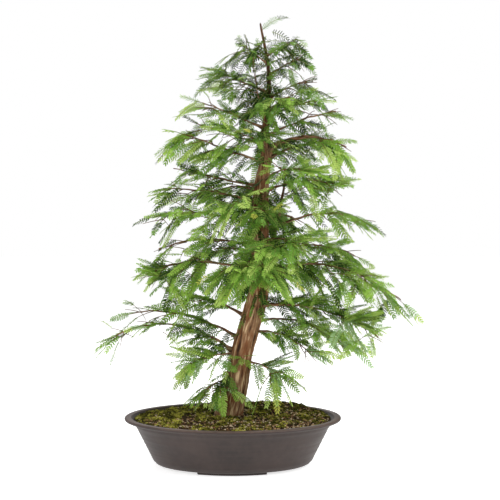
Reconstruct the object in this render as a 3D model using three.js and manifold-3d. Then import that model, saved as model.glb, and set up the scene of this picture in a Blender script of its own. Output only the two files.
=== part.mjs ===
// Dawn redwood grown as a bonsai in an oval pot. Millimetres, +Z up.
// Everything is laid out round the middle of the pot, with the underside of its wall at
// z = 0, and the whole is shifted at the end so that its feet stand on z = 0 and the origin
// is the middle of its footprint.
// Azimuths: 0 is +X (right), 90 is +Y (back), 180 is -X (left) and 270 is the front.

import * as THREE from 'three';
import { mergeVertices } from 'three/addons/utils/BufferGeometryUtils.js';
import Module from 'manifold-3d';

const wasm = await Module();
wasm.setup();

// ---- Driving dimensions ---------------------------------------------------------------

const GAP = 0.3; // between two solids that touch

const POT = {
  narrower: 32, // half the long side less half the short side, at any height
  lipHalf: 152.5, // half the long side, at the lip
  rimTop: 64.6,
  lipThick: 4.6,
  lipOverhang: 12,
  lipWidth: 10, // flat top of the lip
  bendFrom: 54, // the inner face bends out to the lip from this height
  wall: 4.6,
  baseHalf: 110, // half the long side, at the underside
  footHeight: 4,
  footInset: 8, // from the edge of the underside to the feet
  footReach: 47, // half the width of each foot
  footDepth: 15,
  floorThick: 5,
  drainRadius: 9,
  drainOut: 52,
  sides: 32,
};

const SOIL = {
  atTrunk: 65.7, // flat spot that the trunk stands on
  flatHalf: 40,
  edge: 60.5,
  swell: 1.3, // unevenness of the surface
  swellLength: [13, 11],
  moundHeight: 7.5,
  moundAt: [72, 80],
  moundSpread: [56, 26],
};

// Height, place of the middle and radius of the trunk from its flat cut to its tip.
const TRUNK = [
  [66, -9, 0, 19],
  [78, -3, 0, 16.8],
  [100, 3, 0, 16],
  [143, 10, 1, 15.8],
  [180, 20, 3, 15.6],
  [218, 31, 5, 15],
  [240, 37, 6, 14],
  [300, 39, 6, 12.5],
  [360, 38.5, 4, 11],
  [401, 42, 2, 9.7],
  [432, 48, 1, 8.5],
  [470, 45.5, 0, 6.8],
  [510, 50.5, 0, 5.2],
  [554, 50.5, 1, 4],
  [586, 45.3, 1, 2.8],
  [620, 38, 0, 1.9],
];
const TRUNK_SIDES = 12;
const FLARE_TOP = 112; // the root flare ends at this height
const FLARE_LOBES = 5;
const FLARE_DEPTH = 0.16;

// Limbs, from the foot of the tree to its top. Each springs from the trunk, or from the
// side leader, at height z and runs out to reach, measured level from the trunk's middle.
// rise lifts its tip over its root, arch lifts its middle over the chord between them, and
// bare is the share of it that carries no foliage: the bough, where it has one of its own.
const LIMBS = [
  { name: 'leader', z: 249, az: 35, reach: 47, rise: 176, arch: -6, bare: 0.62, twig: 20, root: 4.2 },
  { name: 'low_left_1', z: 118, az: 212, reach: 74, rise: -30, arch: 9, bare: 0.3, twig: 14, root: 2 },
  { name: 'low_left_2', z: 150, az: 203, reach: 112, rise: -33, arch: 15, bare: 0.3, twig: 20, root: 2.4 },
  { name: 'low_right', z: 141, az: 326, reach: 98, rise: -46, arch: 15, bare: 0.3, twig: 17, root: 2.2 },
  { name: 'left_1', z: 147, az: 184, reach: 206, rise: 14, arch: 40, bare: 0.42, twig: 28, root: 3.4 },
  { name: 'left_2', z: 168, az: 176, reach: 192, rise: 33, arch: 24, bare: 0.4, twig: 27, root: 3.2 },
  { name: 'left_3', z: 200, az: 165, reach: 156, rise: 40, arch: 12, bare: 0.35, twig: 27, root: 3 },
  { name: 'left_4', z: 262, az: 188, reach: 186, rise: -9, arch: 24, bare: 0.3, twig: 30, root: 3.1 },
  { name: 'left_5', z: 300, az: 172, reach: 180, rise: -14, arch: 20, bare: 0.2, twig: 29, root: 3.2 },
  { name: 'left_6', z: 332, az: 192, reach: 182, rise: 5, arch: 16, bare: 0.28, twig: 29, root: 3 },
  { name: 'left_7', z: 365, az: 176, reach: 164, rise: 20, arch: 8, bare: 0.2, twig: 27, root: 3 },
  { name: 'left_8', z: 388, az: 164, reach: 166, rise: 36, arch: 0, bare: 0.28, twig: 26, root: 2.8 },
  { name: 'left_9', z: 422, az: 188, reach: 146, rise: 48, arch: 0, bare: 0.2, twig: 24, root: 2.8 },
  { name: 'left_10', z: 446, az: 170, reach: 131, rise: 44, arch: 0, bare: 0.2, twig: 22, root: 2.6 },
  { name: 'left_11', z: 470, az: 192, reach: 120, rise: 43, arch: 2, bare: 0.2, twig: 21, root: 2.4 },
  { name: 'left_12', z: 520, az: 178, reach: 97, rise: 40, arch: 2, bare: 0.2, twig: 19, root: 2 },
  { name: 'left_13', z: 562, az: 184, reach: 54, rise: 38, arch: 0, bare: 0.25, twig: 12, root: 1.6 },
  { name: 'upright_left', z: 496, az: 200, reach: 22, rise: 84, arch: -18, bare: 0.3, twig: 14, root: 2.2 },
  { name: 'right_1', z: 180, az: 345, reach: 122, rise: -61, arch: 26, bare: 0.45, twig: 22, root: 2.7 },
  { name: 'right_2', z: 196, az: 22, reach: 190, rise: -63, arch: 26, bare: 0.35, twig: 26, root: 3 },
  { name: 'right_3', z: 218, az: 358, reach: 204, rise: -64, arch: 26, bare: 0.42, twig: 27, root: 3.4 },
  { name: 'right_4', z: 262, az: 352, reach: 227, rise: -60, arch: 42, bare: 0.3, twig: 30, root: 3.5 },
  { name: 'right_5', z: 290, az: 14, reach: 172, rise: -14, arch: 22, bare: 0.22, twig: 29, root: 3 },
  { name: 'right_6', z: 330, az: 356, reach: 162, rise: -13, arch: 26, bare: 0.3, twig: 28, root: 2.9 },
  { name: 'right_7', z: 378, az: 350, reach: 142, rise: -4, arch: 20, bare: 0.22, twig: 26, root: 2.8 },
  { name: 'right_8', z: 438, az: 340, reach: 146, rise: -20, arch: 27, bare: 0.3, twig: 24, root: 3.8 },
  { name: 'right_9', z: 426, az: 14, reach: 143, rise: 20, arch: 16, bare: 0.22, twig: 23, root: 2.8 },
  { name: 'right_10', z: 458, az: 356, reach: 130, rise: 37, arch: 10, bare: 0.2, twig: 21, root: 2.6 },
  { name: 'right_11', z: 484, az: 10, reach: 100, rise: 30, arch: 8, bare: 0.2, twig: 20, root: 2.2 },
  { name: 'right_12', z: 512, az: 346, reach: 92, rise: 20, arch: 10, bare: 0.2, twig: 17, root: 2 },
  { name: 'right_13', z: 545, az: 4, reach: 70, rise: 27, arch: 8, bare: 0.2, twig: 15, root: 1.8 },
  { name: 'right_14', z: 572, az: 352, reach: 60, rise: 24, arch: 6, bare: 0.2, twig: 13, root: 1.6 },
  { name: 'top_1', z: 597, az: 345, reach: 42, rise: 6, arch: 9, bare: 0.25, twig: 0, root: 1.3 },
  { name: 'top_2', z: 609, az: 5, reach: 40, rise: 20, arch: 6, bare: 0.25, twig: 0, root: 1.2 },
  { name: 'front_1', z: 268, az: 258, reach: 150, rise: -10, arch: 20, bare: 0.24, twig: 28, root: 3 },
  { name: 'front_2', z: 302, az: 292, reach: 146, rise: -12, arch: 18, bare: 0.22, twig: 27, root: 3 },
  { name: 'front_3', z: 345, az: 240, reach: 130, rise: 4, arch: 14, bare: 0.22, twig: 24, root: 2.8 },
  { name: 'front_4', z: 395, az: 304, reach: 118, rise: 4, arch: 12, bare: 0.22, twig: 22, root: 2.6 },
  { name: 'front_5', z: 442, az: 232, reach: 98, rise: 18, arch: 6, bare: 0.22, twig: 19, root: 2.2 },
  { name: 'front_6', z: 490, az: 300, reach: 76, rise: 18, arch: 6, bare: 0.22, twig: 16, root: 2 },
  { name: 'back_1', z: 254, az: 74, reach: 172, rise: -4, arch: 22, bare: 0.24, twig: 29, root: 3.2 },
  { name: 'back_2', z: 286, az: 122, reach: 168, rise: -10, arch: 20, bare: 0.22, twig: 28, root: 3 },
  { name: 'back_3', z: 338, az: 66, reach: 150, rise: 2, arch: 14, bare: 0.22, twig: 27, root: 3 },
  { name: 'back_4', z: 376, az: 116, reach: 138, rise: 14, arch: 10, bare: 0.22, twig: 24, root: 2.8 },
  { name: 'back_5', z: 436, az: 78, reach: 112, rise: 18, arch: 8, bare: 0.22, twig: 21, root: 2.4 },
  { name: 'back_6', z: 500, az: 108, reach: 78, rise: 22, arch: 4, bare: 0.22, twig: 17, root: 2 },
];
// Limbs whose bare stretch is a bough, limbs that climb beside the trunk, and limbs that
// spring from the leader.
const BOUGHS = [
  'leader', 'left_1', 'left_2', 'left_4', 'left_6', 'left_8',
  'right_1', 'right_3', 'right_4', 'right_6', 'right_8',
];
const UPRIGHT = ['leader', 'upright_left'];
const ON_LEADER = ['right_6'];

// Growth rule
const TIP_SHARE = 0.26; // radius of a limb's end over its root
const CROOK = 0.022; // side wander of a limb over its reach
const TWIG_SPACING = 19;
const TWIG_ANGLE = 0.95; // between twig and stem, radians
const TWIG_SHRINK = 0.45; // how much shorter the outermost twig is
const TWIG_ROOT = 1; // radius
const TWIG_END = 0.6;
const LAYER_WEIGHT = 2; // heights count this much more when spaces are shared out
const SPACE_SLACK = 16; // how far a spray may pass the middle between two stems
const GOLDEN_TURN = 2.4; // from twig to twig round an upright stem, radians

// Sprays of needles: toothed blades in flat clusters, thickest where they join the twig.
const SPRAY_LENGTH = 58;
const SPRAY_HALF = 0.18; // half its width over its length
const SPRAY_THICK = 1.6;
const SPRAY_SPREAD = 1.02; // angle between neighbours in a cluster, radians
const SPRAY_ROLL = 0.8; // most that a cluster turns about its twig, radians
const SPRAY_HANG = [0.12, 0.5]; // how far a spray's tip hangs, over its length
const WAIST = 2.6; // from a cluster's middle to its rim between two sprays
const BACK = 6; // and to the rim behind it, where the twig comes in
const TWIG_SHORT = 1; // from a twig's end to the middle of its cluster
const SPRAY_MARK = 0.6; // share of its length at which a spray has to be in its mass's space
// One side of a spray, root to tip: share of its length, share of its half width.
const SPRAY_TEETH = [[0.36, 1], [0.47, 0.56], [0.72, 0.72]];

const COLOURS = {
  pot: { color: 0x4a4340, roughness: 0.7, metalness: 0 },
  soil: { color: 0x4b4226, roughness: 1, metalness: 0 },
  bark: { color: 0x7a5637, roughness: 0.9, metalness: 0 },
  needles: { color: 0x6b9c3c, roughness: 0.75, metalness: 0 },
};

const UP = new THREE.Vector3(0, 0, 1);
const radians = THREE.MathUtils.degToRad;

// ---- Solids ---------------------------------------------------------------------------

// A closed three.js geometry as a solid that can be joined and cut.
function solidOf(geometry) {
  const bare = geometry.clone();
  bare.deleteAttribute('normal');
  bare.deleteAttribute('uv');
  const merged = mergeVertices(bare, 1e-4);
  const corners = Array.from(merged.index.array);
  const faces = [];
  for (let i = 0; i < corners.length; i += 3) {
    const [a, b, c] = corners.slice(i, i + 3);
    if (a !== b && b !== c && c !== a) faces.push(a, b, c);
  }
  return new wasm.Manifold(new wasm.Mesh({
    numProp: 3,
    vertProperties: new Float32Array(merged.attributes.position.array),
    triVerts: new Uint32Array(faces),
  }));
}

function geometryOf(solid) {
  const mesh = solid.getMesh();
  const geometry = new THREE.BufferGeometry();
  geometry.setAttribute('position', new THREE.BufferAttribute(mesh.vertProperties, 3));
  geometry.setIndex(new THREE.BufferAttribute(mesh.triVerts, 1));
  return geometry;
}

// Drops loose scraps and fills sealed hollows: only the largest shell is left.
function largestPart(solid) {
  const parts = solid.simplify(0.01).decompose();
  return parts.reduce((best, part) => (part.volume() > best.volume() ? part : best));
}

function boxOf(solid) {
  const { min, max } = solid.boundingBox();
  return new THREE.Box3(new THREE.Vector3(...min), new THREE.Vector3(...max));
}

// Moves every corner of a geometry to where the rule puts it.
function reshape(geometry, rule) {
  const places = geometry.attributes.position;
  const corner = new THREE.Vector3();
  for (let i = 0; i < places.count; i += 1) {
    rule(corner.fromBufferAttribute(places, i));
    places.setXYZ(i, corner.x, corner.y, corner.z);
  }
  return geometry;
}

// Small repeatable random numbers from 0 to 1.
function seeded(seed) {
  let state = 7919 * (seed + 1);
  const draw = () => {
    state = (state * 16807) % 2147483647;
    return state / 2147483647;
  };
  draw();
  draw();
  return draw;
}

// ---- Pot and soil ---------------------------------------------------------------------

// Turns a profile of [radius, height] round the pot's middle and flattens it to the oval.
function ovalTurning(profile) {
  const points = profile.map(([radius, height]) => new THREE.Vector2(radius, height));
  const turning = new THREE.LatheGeometry(points, POT.sides);
  turning.rotateX(Math.PI / 2);
  return reshape(turning, (corner) => { corner.y *= depthShare(Math.hypot(corner.x, corner.y)); });
}

// Half the short side over half the long side of a ring. Inside the underside it stays alike.
const depthShare = (half) => 1 - POT.narrower / Math.max(half, POT.baseHalf - POT.footInset);

// Half of the long side of the wall's outer face at a height.
function wallHalf(height) {
  const top = POT.lipHalf - POT.lipOverhang;
  return THREE.MathUtils.lerp(POT.baseHalf, top, height / (POT.rimTop - POT.lipThick));
}

// Half of the long side of the inner face at a height.
function innerHalf(height) {
  const straight = wallHalf(Math.min(height, POT.bendFrom)) - POT.wall;
  const bend = Math.max(0, (height - POT.bendFrom) / (POT.rimTop - POT.bendFrom));
  return THREE.MathUtils.lerp(straight, POT.lipHalf - POT.lipWidth, bend);
}

function potSolid() {
  const lipUnder = POT.rimTop - POT.lipThick;
  const outline = [
    [0, 0],
    [POT.baseHalf - 4, 0],
    [POT.baseHalf - 0.6, 1.2],
    [wallHalf(5), 5],
    [wallHalf(lipUnder - 9), lipUnder - 9],
    [wallHalf(lipUnder) + 1.2, lipUnder - 2.2],
    [POT.lipHalf - 4, lipUnder],
    [POT.lipHalf, lipUnder + 1.8],
    [POT.lipHalf - 1, POT.rimTop],
    [innerHalf(POT.rimTop), POT.rimTop],
    [innerHalf(POT.bendFrom), POT.bendFrom],
    [innerHalf(POT.floorThick), POT.floorThick],
    [0, POT.floorThick],
  ];
  let solid = solidOf(ovalTurning(outline));
  for (const side of [-1, 1]) {
    solid = solid.add(solidOf(footGeometry(side)));
    solid = solid.subtract(solidOf(drainGeometry(side)));
  }
  return largestPart(solid);
}

// A low foot that follows the oval, in front (side -1) or at the back (side 1).
function footGeometry(side) {
  const outer = POT.baseHalf - POT.footInset;
  const steps = 6;
  const arc = (half) => Array.from({ length: steps + 1 }, (_, i) => {
    const x = THREE.MathUtils.lerp(-POT.footReach, POT.footReach, i / steps);
    return new THREE.Vector2(x, side * (half - POT.narrower) * Math.sqrt(1 - (x / half) ** 2));
  });
  const shape = new THREE.Shape([...arc(outer), ...arc(outer - POT.footDepth).reverse()]);
  const foot = new THREE.ExtrudeGeometry(shape, { depth: POT.footHeight + 1, bevelEnabled: false });
  return foot.translate(0, 0, -POT.footHeight);
}

function drainGeometry(side) {
  const hole = new THREE.CylinderGeometry(POT.drainRadius, POT.drainRadius, 3 * POT.floorThick, 12);
  hole.rotateX(Math.PI / 2);
  return hole.translate(side * POT.drainOut, 0, POT.floorThick / 2);
}

// Height of the soil's surface; flat where the trunk stands.
function soilHeight(x, y) {
  const edge = innerHalf(SOIL.edge);
  const out = Math.hypot(x, y / depthShare(edge));
  const away = THREE.MathUtils.smoothstep(out, SOIL.flatHalf, SOIL.flatHalf + 25);
  const fall = THREE.MathUtils.smoothstep(out, 75, edge);
  const aside = (x - SOIL.moundAt[0]) / SOIL.moundSpread[0];
  const back = (y - SOIL.moundAt[1]) / SOIL.moundSpread[1];
  const mound = SOIL.moundHeight * Math.exp(-(aside ** 2 + back ** 2) / 2);
  const swell = SOIL.swell * Math.sin(x / SOIL.swellLength[0] + 1) * Math.cos(y / SOIL.swellLength[1]);
  return SOIL.atTrunk + away * (mound + swell) - fall * (SOIL.atTrunk - SOIL.edge);
}

function soilSolid() {
  const bottom = POT.floorThick + GAP;
  const clear = GAP + 0.2;
  const edge = innerHalf(SOIL.edge - 1.5) - clear;
  const outline = [
    [0, bottom],
    [innerHalf(bottom) - clear, bottom],
    [innerHalf(POT.bendFrom) - clear, POT.bendFrom],
    [edge, SOIL.edge - 1.5],
    [edge - 3, SOIL.edge],
    [106, SOIL.edge],
    [74, SOIL.edge],
    [SOIL.flatHalf, SOIL.edge],
    [0, SOIL.edge],
  ];
  const body = reshape(ovalTurning(outline), (corner) => {
    if (corner.z > SOIL.edge - 1) corner.z = soilHeight(corner.x, corner.y);
  });
  return solidOf(body);
}

// ---- Trunk and limbs ------------------------------------------------------------------

// Middle and radius of the trunk at a height.
function trunkAt(height) {
  const last = TRUNK.length - 1;
  let i = TRUNK.findIndex((station) => station[0] > height) - 1;
  if (i < 0) i = height < TRUNK[0][0] ? 0 : last - 1;
  const [z0, x0, y0, r0] = TRUNK[i];
  const [z1, x1, y1, r1] = TRUNK[i + 1];
  const share = THREE.MathUtils.clamp((height - z0) / (z1 - z0), 0, 1);
  const mix = (a, b) => THREE.MathUtils.lerp(a, b, share);
  return { middle: new THREE.Vector3(mix(x0, x1), mix(y0, y1), height), radius: mix(r0, r1) };
}

// The trunk, or with grow the space round it that limbs keep out of.
function trunkSolid(grow = 0) {
  const steps = TRUNK.length - 1;
  const tube = new THREE.CylinderGeometry(1, 1, steps, TRUNK_SIDES, steps);
  const foot = TRUNK[0][0];
  return solidOf(reshape(tube, (corner) => {
    const [z, x, y, radius] = TRUNK[Math.round(corner.y + steps / 2)];
    const flare = Math.max(0, (FLARE_TOP - z) / (FLARE_TOP - foot));
    const lobe = Math.cos(FLARE_LOBES * Math.atan2(corner.x, corner.z));
    const wide = radius * (1 + FLARE_DEPTH * flare * (lobe + 0.4)) + grow;
    corner.set(x + wide * corner.z, y + wide * corner.x, z);
  }));
}

// A limb's course: a bow from root to tip with a little seeded wander to either side.
class LimbCurve extends THREE.Curve {
  constructor(limb, root, seed) {
    super();
    const out = new THREE.Vector3(Math.cos(radians(limb.az)), Math.sin(radians(limb.az)), 0);
    const knee = UPRIGHT.includes(limb.name) ? 0.8 : 0.5;
    this.side = new THREE.Vector3(-out.y, out.x, 0);
    this.root = root;
    this.knee = root.clone().addScaledVector(out, limb.reach * knee);
    this.knee.z += limb.rise / 2 + 2 * limb.arch;
    this.tip = root.clone().addScaledVector(out, limb.reach);
    this.tip.z += limb.rise;
    this.crook = CROOK * limb.reach;
    this.phase = 2 * Math.PI * seeded(seed)();
  }

  getPoint(t, target = new THREE.Vector3()) {
    const wander = this.crook * Math.sin(Math.PI * t) * Math.sin(9 * t + this.phase);
    target.set(0, 0, 0).addScaledVector(this.root, (1 - t) * (1 - t));
    target.addScaledVector(this.knee, 2 * t * (1 - t)).addScaledVector(this.tip, t * t);
    return target.addScaledVector(this.side, wander);
  }
}

// A tapering round along the stretch of a curve from start to end.
function taper(curve, start, end, rootRadius, endRadius, sides, steps) {
  const tube = new THREE.CylinderGeometry(endRadius, rootRadius, 1, sides, steps);
  return solidOf(reshape(tube, (corner) => {
    const t = THREE.MathUtils.lerp(start, end, corner.y + 0.5);
    const ahead = curve.getTangent(t);
    const across = acrossOf(ahead);
    const over = across.clone().cross(ahead);
    const { x, z } = corner;
    corner.copy(curve.getPoint(t)).addScaledVector(across, x).addScaledVector(over, z);
  }));
}

// A level direction square to the heading.
function acrossOf(heading) {
  const level = new THREE.Vector3().crossVectors(heading, UP);
  if (level.lengthSq() <= 0.02) level.set(1, 0, 0).projectOnPlane(heading);
  return level.normalize();
}

const limbRadius = (limb, t) => limb.root * THREE.MathUtils.lerp(1, TIP_SHARE, t);

// The bare stretch of a limb, or with grow the space round it that masses keep out of.
function boughSolid(limb, curve, grow = 0) {
  const sides = UPRIGHT.includes(limb.name) ? 7 : 6;
  return taper(curve, 0, limb.bare, limb.root + grow, limbRadius(limb, limb.bare) + grow, sides, 4);
}

// ---- Foliage --------------------------------------------------------------------------

// A flat cluster of toothed blades that spread from one centre. margin makes the slightly
// larger cluster that has to be clear of every neighbour.
function clusterGeometry({ centre, ahead, across, sprays }, margin = 0) {
  const over = ahead.clone().cross(across);
  const rim = [];
  const mark = (angle, u, v, hang) => {
    const along = u * Math.cos(angle) - v * Math.sin(angle);
    const aside = u * Math.sin(angle) + v * Math.cos(angle);
    const corner = centre.clone().addScaledVector(ahead, along).addScaledVector(across, aside);
    rim.push(corner.addScaledVector(over, -hang * u * u));
  };
  sprays.forEach(({ angle, length, hang }, i) => {
    const long = length + margin;
    const half = SPRAY_HALF * length + margin;
    const sink = hang / long;
    SPRAY_TEETH.forEach(([u, v]) => mark(angle, u * long, -v * half, sink));
    mark(angle, long, 0, sink);
    [...SPRAY_TEETH].reverse().forEach(([u, v]) => mark(angle, u * long, v * half, sink));
    const last = i + 1 === sprays.length;
    const next = last ? sprays[0].angle + 2 * Math.PI : sprays[i + 1].angle;
    mark((angle + next) / 2, (last ? BACK : WAIST) + margin, 0, 0);
  });
  const [top, bottom] = [1, -1].map((face) => (
    centre.clone().addScaledVector(over, face * (SPRAY_THICK / 2 + margin))
  ));
  const faces = rim.flatMap((_, i) => {
    const next = (i + 1) % rim.length;
    return [rim.length, i, next, rim.length + 1, next, i];
  });
  return new THREE.BufferGeometry().setFromPoints([...rim, top, bottom]).setIndex(faces);
}

// A cluster at centre with sprays at the given angles to the heading ahead.
function clusterAt(centre, ahead, angles, draw) {
  const across = acrossOf(ahead).negate().applyAxisAngle(ahead, SPRAY_ROLL * (2 * draw() - 1));
  const sprays = angles.map((angle) => ({
    angle: angle + 0.12 * (draw() - 0.5),
    length: SPRAY_LENGTH * (0.84 + 0.3 * draw()),
    hang: THREE.MathUtils.lerp(...SPRAY_HANG, draw()),
  }));
  return { centre, ahead, across, sprays };
}

// Twigs and clusters of one mass by the growth rule, before any spray is skipped.
function growth(limb, curve, stemEnd, seed) {
  const draw = seeded(seed);
  const leafy = (stemEnd - limb.bare) * curve.getLength();
  const count = limb.twig > 0 ? Math.max(2, Math.round(leafy / TWIG_SPACING)) : 0;
  const upright = UPRIGHT.includes(limb.name);
  const twigs = [];
  for (let k = 0; k < count; k += 1) {
    const along = (k + 0.5) / count;
    const t = THREE.MathUtils.lerp(limb.bare, stemEnd, along);
    const turn = upright ? k * GOLDEN_TURN : (k % 2 ? 1 : -1) * (Math.PI / 2);
    const heading = branchHeading(curve.getTangent(t), turn, draw);
    const length = limb.twig * (1 - TWIG_SHRINK * along) * (0.9 + 0.25 * draw());
    const root = curve.getPoint(t);
    const tip = root.clone().addScaledVector(heading, length);
    const centre = tip.clone().addScaledVector(heading, TWIG_SHORT);
    const cluster = clusterAt(centre, heading, [-SPRAY_SPREAD, 0, SPRAY_SPREAD], draw);
    twigs.push({ root, tip, cluster });
  }
  return { twigs, end: endCluster(limb, curve, stemEnd, draw) };
}

// A heading that leaves a stem at the twig angle; turn goes round the stem from its top.
function branchHeading(ahead, turn, draw) {
  const over = acrossOf(ahead).cross(ahead);
  const outward = over.applyAxisAngle(ahead, turn + 0.7 * (draw() - 0.5));
  const heading = ahead.clone().multiplyScalar(Math.cos(TWIG_ANGLE));
  heading.addScaledVector(outward, Math.sin(TWIG_ANGLE));
  return heading.addScaledVector(UP, -0.1 - 0.16 * draw()).normalize();
}

// The cluster that ends a stem. Its middle spray runs out to the limb's full reach.
function endCluster(limb, curve, stemEnd, draw) {
  const centre = curve.getPoint(stemEnd);
  const ahead = curve.getPoint(1).sub(centre);
  const length = ahead.length();
  const angles = limb.twig > 0 ? [-SPRAY_SPREAD, 0, SPRAY_SPREAD] : [0];
  const cluster = clusterAt(centre, ahead.normalize(), angles, draw);
  const middle = cluster.sprays[(angles.length - 1) / 2];
  Object.assign(middle, { angle: 0, length, hang: 0 });
  return cluster;
}

// ---- Sharing out the crown ------------------------------------------------------------

// Distance from a point to a stem, heights counted more so that each mass is a layer.
function layerDistance(point, stem) {
  const weigh = (v) => new THREE.Vector3(v.x, v.y, v.z * LAYER_WEIGHT);
  const place = weigh(point);
  const nearest = new THREE.Vector3();
  let least = Infinity;
  for (let i = 0; i + 1 < stem.length; i += 1) {
    new THREE.Line3(weigh(stem[i]), weigh(stem[i + 1])).closestPointToPoint(place, true, nearest);
    least = Math.min(least, nearest.distanceTo(place));
  }
  return least;
}

// Whether the outer part of a spray is nearer to its own stem than to any other.
function inOwnSpace({ centre, ahead, across }, { angle, length }, own, stems) {
  const heading = ahead.clone().multiplyScalar(Math.cos(angle)).addScaledVector(across, Math.sin(angle));
  const outer = centre.clone().addScaledVector(heading, SPRAY_MARK * length);
  const mine = layerDistance(outer, stems[own]);
  return stems.every((stem, i) => i === own || layerDistance(outer, stem) > mine - SPACE_SLACK);
}

function clearOf(solid, neighbours) {
  const box = boxOf(solid);
  const near = neighbours.filter((other) => other.box.intersectsBox(box));
  return near.every((other) => solid.intersect(other.solid).isEmpty());
}

const keepOut = (solid) => ({ solid, box: boxOf(solid) });

// A solid less what already stands where it runs.
function cutClear(solid, standing) {
  const near = standing.filter(({ box }) => box.intersectsBox(boxOf(solid)));
  return near.reduce((rest, other) => rest.subtract(other.solid), solid);
}

// ---- Assembly -------------------------------------------------------------------------

function meshOf(name, solid, look) {
  const mesh = new THREE.Mesh(geometryOf(solid), new THREE.MeshStandardMaterial(look));
  mesh.name = name;
  return mesh;
}

// Root of each limb: in the middle of the trunk, or of the side leader, at its height.
function limbCurves() {
  const curves = new Map();
  LIMBS.forEach((limb, seed) => {
    let root = trunkAt(limb.z).middle;
    if (ON_LEADER.includes(limb.name)) {
      const steps = curves.get('leader').getPoints(60);
      const off = (step) => Math.abs(step.z - limb.z);
      root = steps.reduce((best, step) => (off(step) < off(best) ? step : best));
    }
    curves.set(limb.name, new LimbCurve(limb, root, seed));
  });
  return curves;
}

function buildTree(tree) {
  const trunk = trunkSolid();
  tree.add(meshOf('trunk', trunk, COLOURS.bark));
  const curves = limbCurves();
  const standing = [keepOut(trunkSolid(GAP))];
  for (const limb of LIMBS.filter(({ name }) => BOUGHS.includes(name))) {
    const bough = largestPart(cutClear(boughSolid(limb, curves.get(limb.name)), standing));
    tree.add(meshOf(`bough_${limb.name}`, bough, COLOURS.bark));
    standing.push(keepOut(boughSolid(limb, curves.get(limb.name), GAP)));
  }
  const stems = LIMBS.map((limb) => curves.get(limb.name).getPoints(8).slice(Math.round(8 * limb.bare)));
  LIMBS.forEach((limb, i) => {
    const mass = massSolid(limb, i, curves.get(limb.name), stems, standing);
    tree.add(meshOf(`mass_${limb.name}`, mass, COLOURS.needles));
    standing.push(keepOut(mass));
  });
}

// One mass: the stem that carries on from its bough or from the trunk, with its twigs and
// sprays. What would leave its space or touch a neighbour is left out.
function massSolid(limb, index, curve, stems, standing) {
  const span = curve.getLength();
  const stemEnd = 1 - Math.min(0.45, (0.8 * SPRAY_LENGTH) / span);
  const start = BOUGHS.includes(limb.name) ? limb.bare + GAP / span : 0;
  const stem = taper(curve, start, stemEnd, limbRadius(limb, start), limbRadius(limb, stemEnd), 3, 3);
  let mass = largestPart(cutClear(stem, standing));
  const own = [];
  const fitting = (cluster) => {
    const sprays = cluster.sprays.filter((spray) => {
      const alone = { ...cluster, sprays: [spray] };
      return inOwnSpace(cluster, spray, index, stems)
        && clearOf(solidOf(clusterGeometry(alone)), own)
        && clearOf(solidOf(clusterGeometry(alone, GAP)), standing);
    });
    return sprays.length > 0 ? [solidOf(clusterGeometry({ ...cluster, sprays }))] : [];
  };
  const add = (cluster) => {
    own.push(keepOut(cluster));
    mass = mass.add(cluster);
  };
  const { twigs, end } = growth(limb, curve, stemEnd, index + 100);
  fitting(end).forEach(add);
  for (const twig of twigs) {
    const wood = taper(new THREE.LineCurve3(twig.root, twig.tip), 0, 1, TWIG_ROOT, TWIG_END, 3, 1);
    const [cluster] = clearOf(wood, standing) ? fitting(twig.cluster) : [];
    if (cluster) {
      mass = mass.add(wood);
      add(cluster);
    }
  }
  return largestPart(mass);
}

const plant = new THREE.Group();
plant.add(meshOf('pot', potSolid(), COLOURS.pot));
plant.add(meshOf('soil', soilSolid(), COLOURS.soil));
buildTree(plant);

const reach = new THREE.Box3().setFromObject(plant);
const footprint = reach.getCenter(new THREE.Vector3());
plant.position.set(-footprint.x, -footprint.y, POT.footHeight);

export default plant;
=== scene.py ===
"""Dawn redwood grown as a bonsai in an oval pot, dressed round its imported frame.

Laid out as a Blender add-on and run as a script. The tree is grown in millimetres round
the middle of the pot, by the same limbs and the same growth rule as the solid model, and
carried on to fine twigs and single needles. Azimuths: 0 is +X, 90 is +Y (back).
"""
import math
import random
from collections import namedtuple
from functools import cache

import bpy
import numpy as np
from bpy.props import FloatProperty, FloatVectorProperty, IntProperty, PointerProperty
from mathutils import Matrix, Vector, noise


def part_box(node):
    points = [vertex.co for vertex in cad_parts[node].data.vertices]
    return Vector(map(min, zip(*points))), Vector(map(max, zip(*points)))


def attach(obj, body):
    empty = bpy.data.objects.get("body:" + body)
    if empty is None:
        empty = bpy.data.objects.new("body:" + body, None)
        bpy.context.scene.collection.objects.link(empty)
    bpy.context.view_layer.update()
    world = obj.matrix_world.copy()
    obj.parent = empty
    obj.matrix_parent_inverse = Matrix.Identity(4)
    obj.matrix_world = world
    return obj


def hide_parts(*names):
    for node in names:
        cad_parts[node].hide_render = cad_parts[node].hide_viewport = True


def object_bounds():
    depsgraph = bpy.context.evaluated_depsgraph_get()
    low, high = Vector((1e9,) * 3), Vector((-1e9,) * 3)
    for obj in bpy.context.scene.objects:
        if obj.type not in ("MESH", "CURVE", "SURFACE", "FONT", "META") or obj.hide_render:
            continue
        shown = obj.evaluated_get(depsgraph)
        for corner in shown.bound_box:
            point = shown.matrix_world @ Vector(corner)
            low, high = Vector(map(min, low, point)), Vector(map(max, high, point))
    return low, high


bl_info = {
    "name": "Potted Dawn Redwood",
    "version": (1, 0, 0),
    "blender": (4, 5, 0),
    "location": "View3D > Sidebar > Bonsai",
    "description": "Dresses a dawn redwood bonsai with bark, needles, moss and its oval pot",
    "category": "Add Mesh",
}

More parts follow.
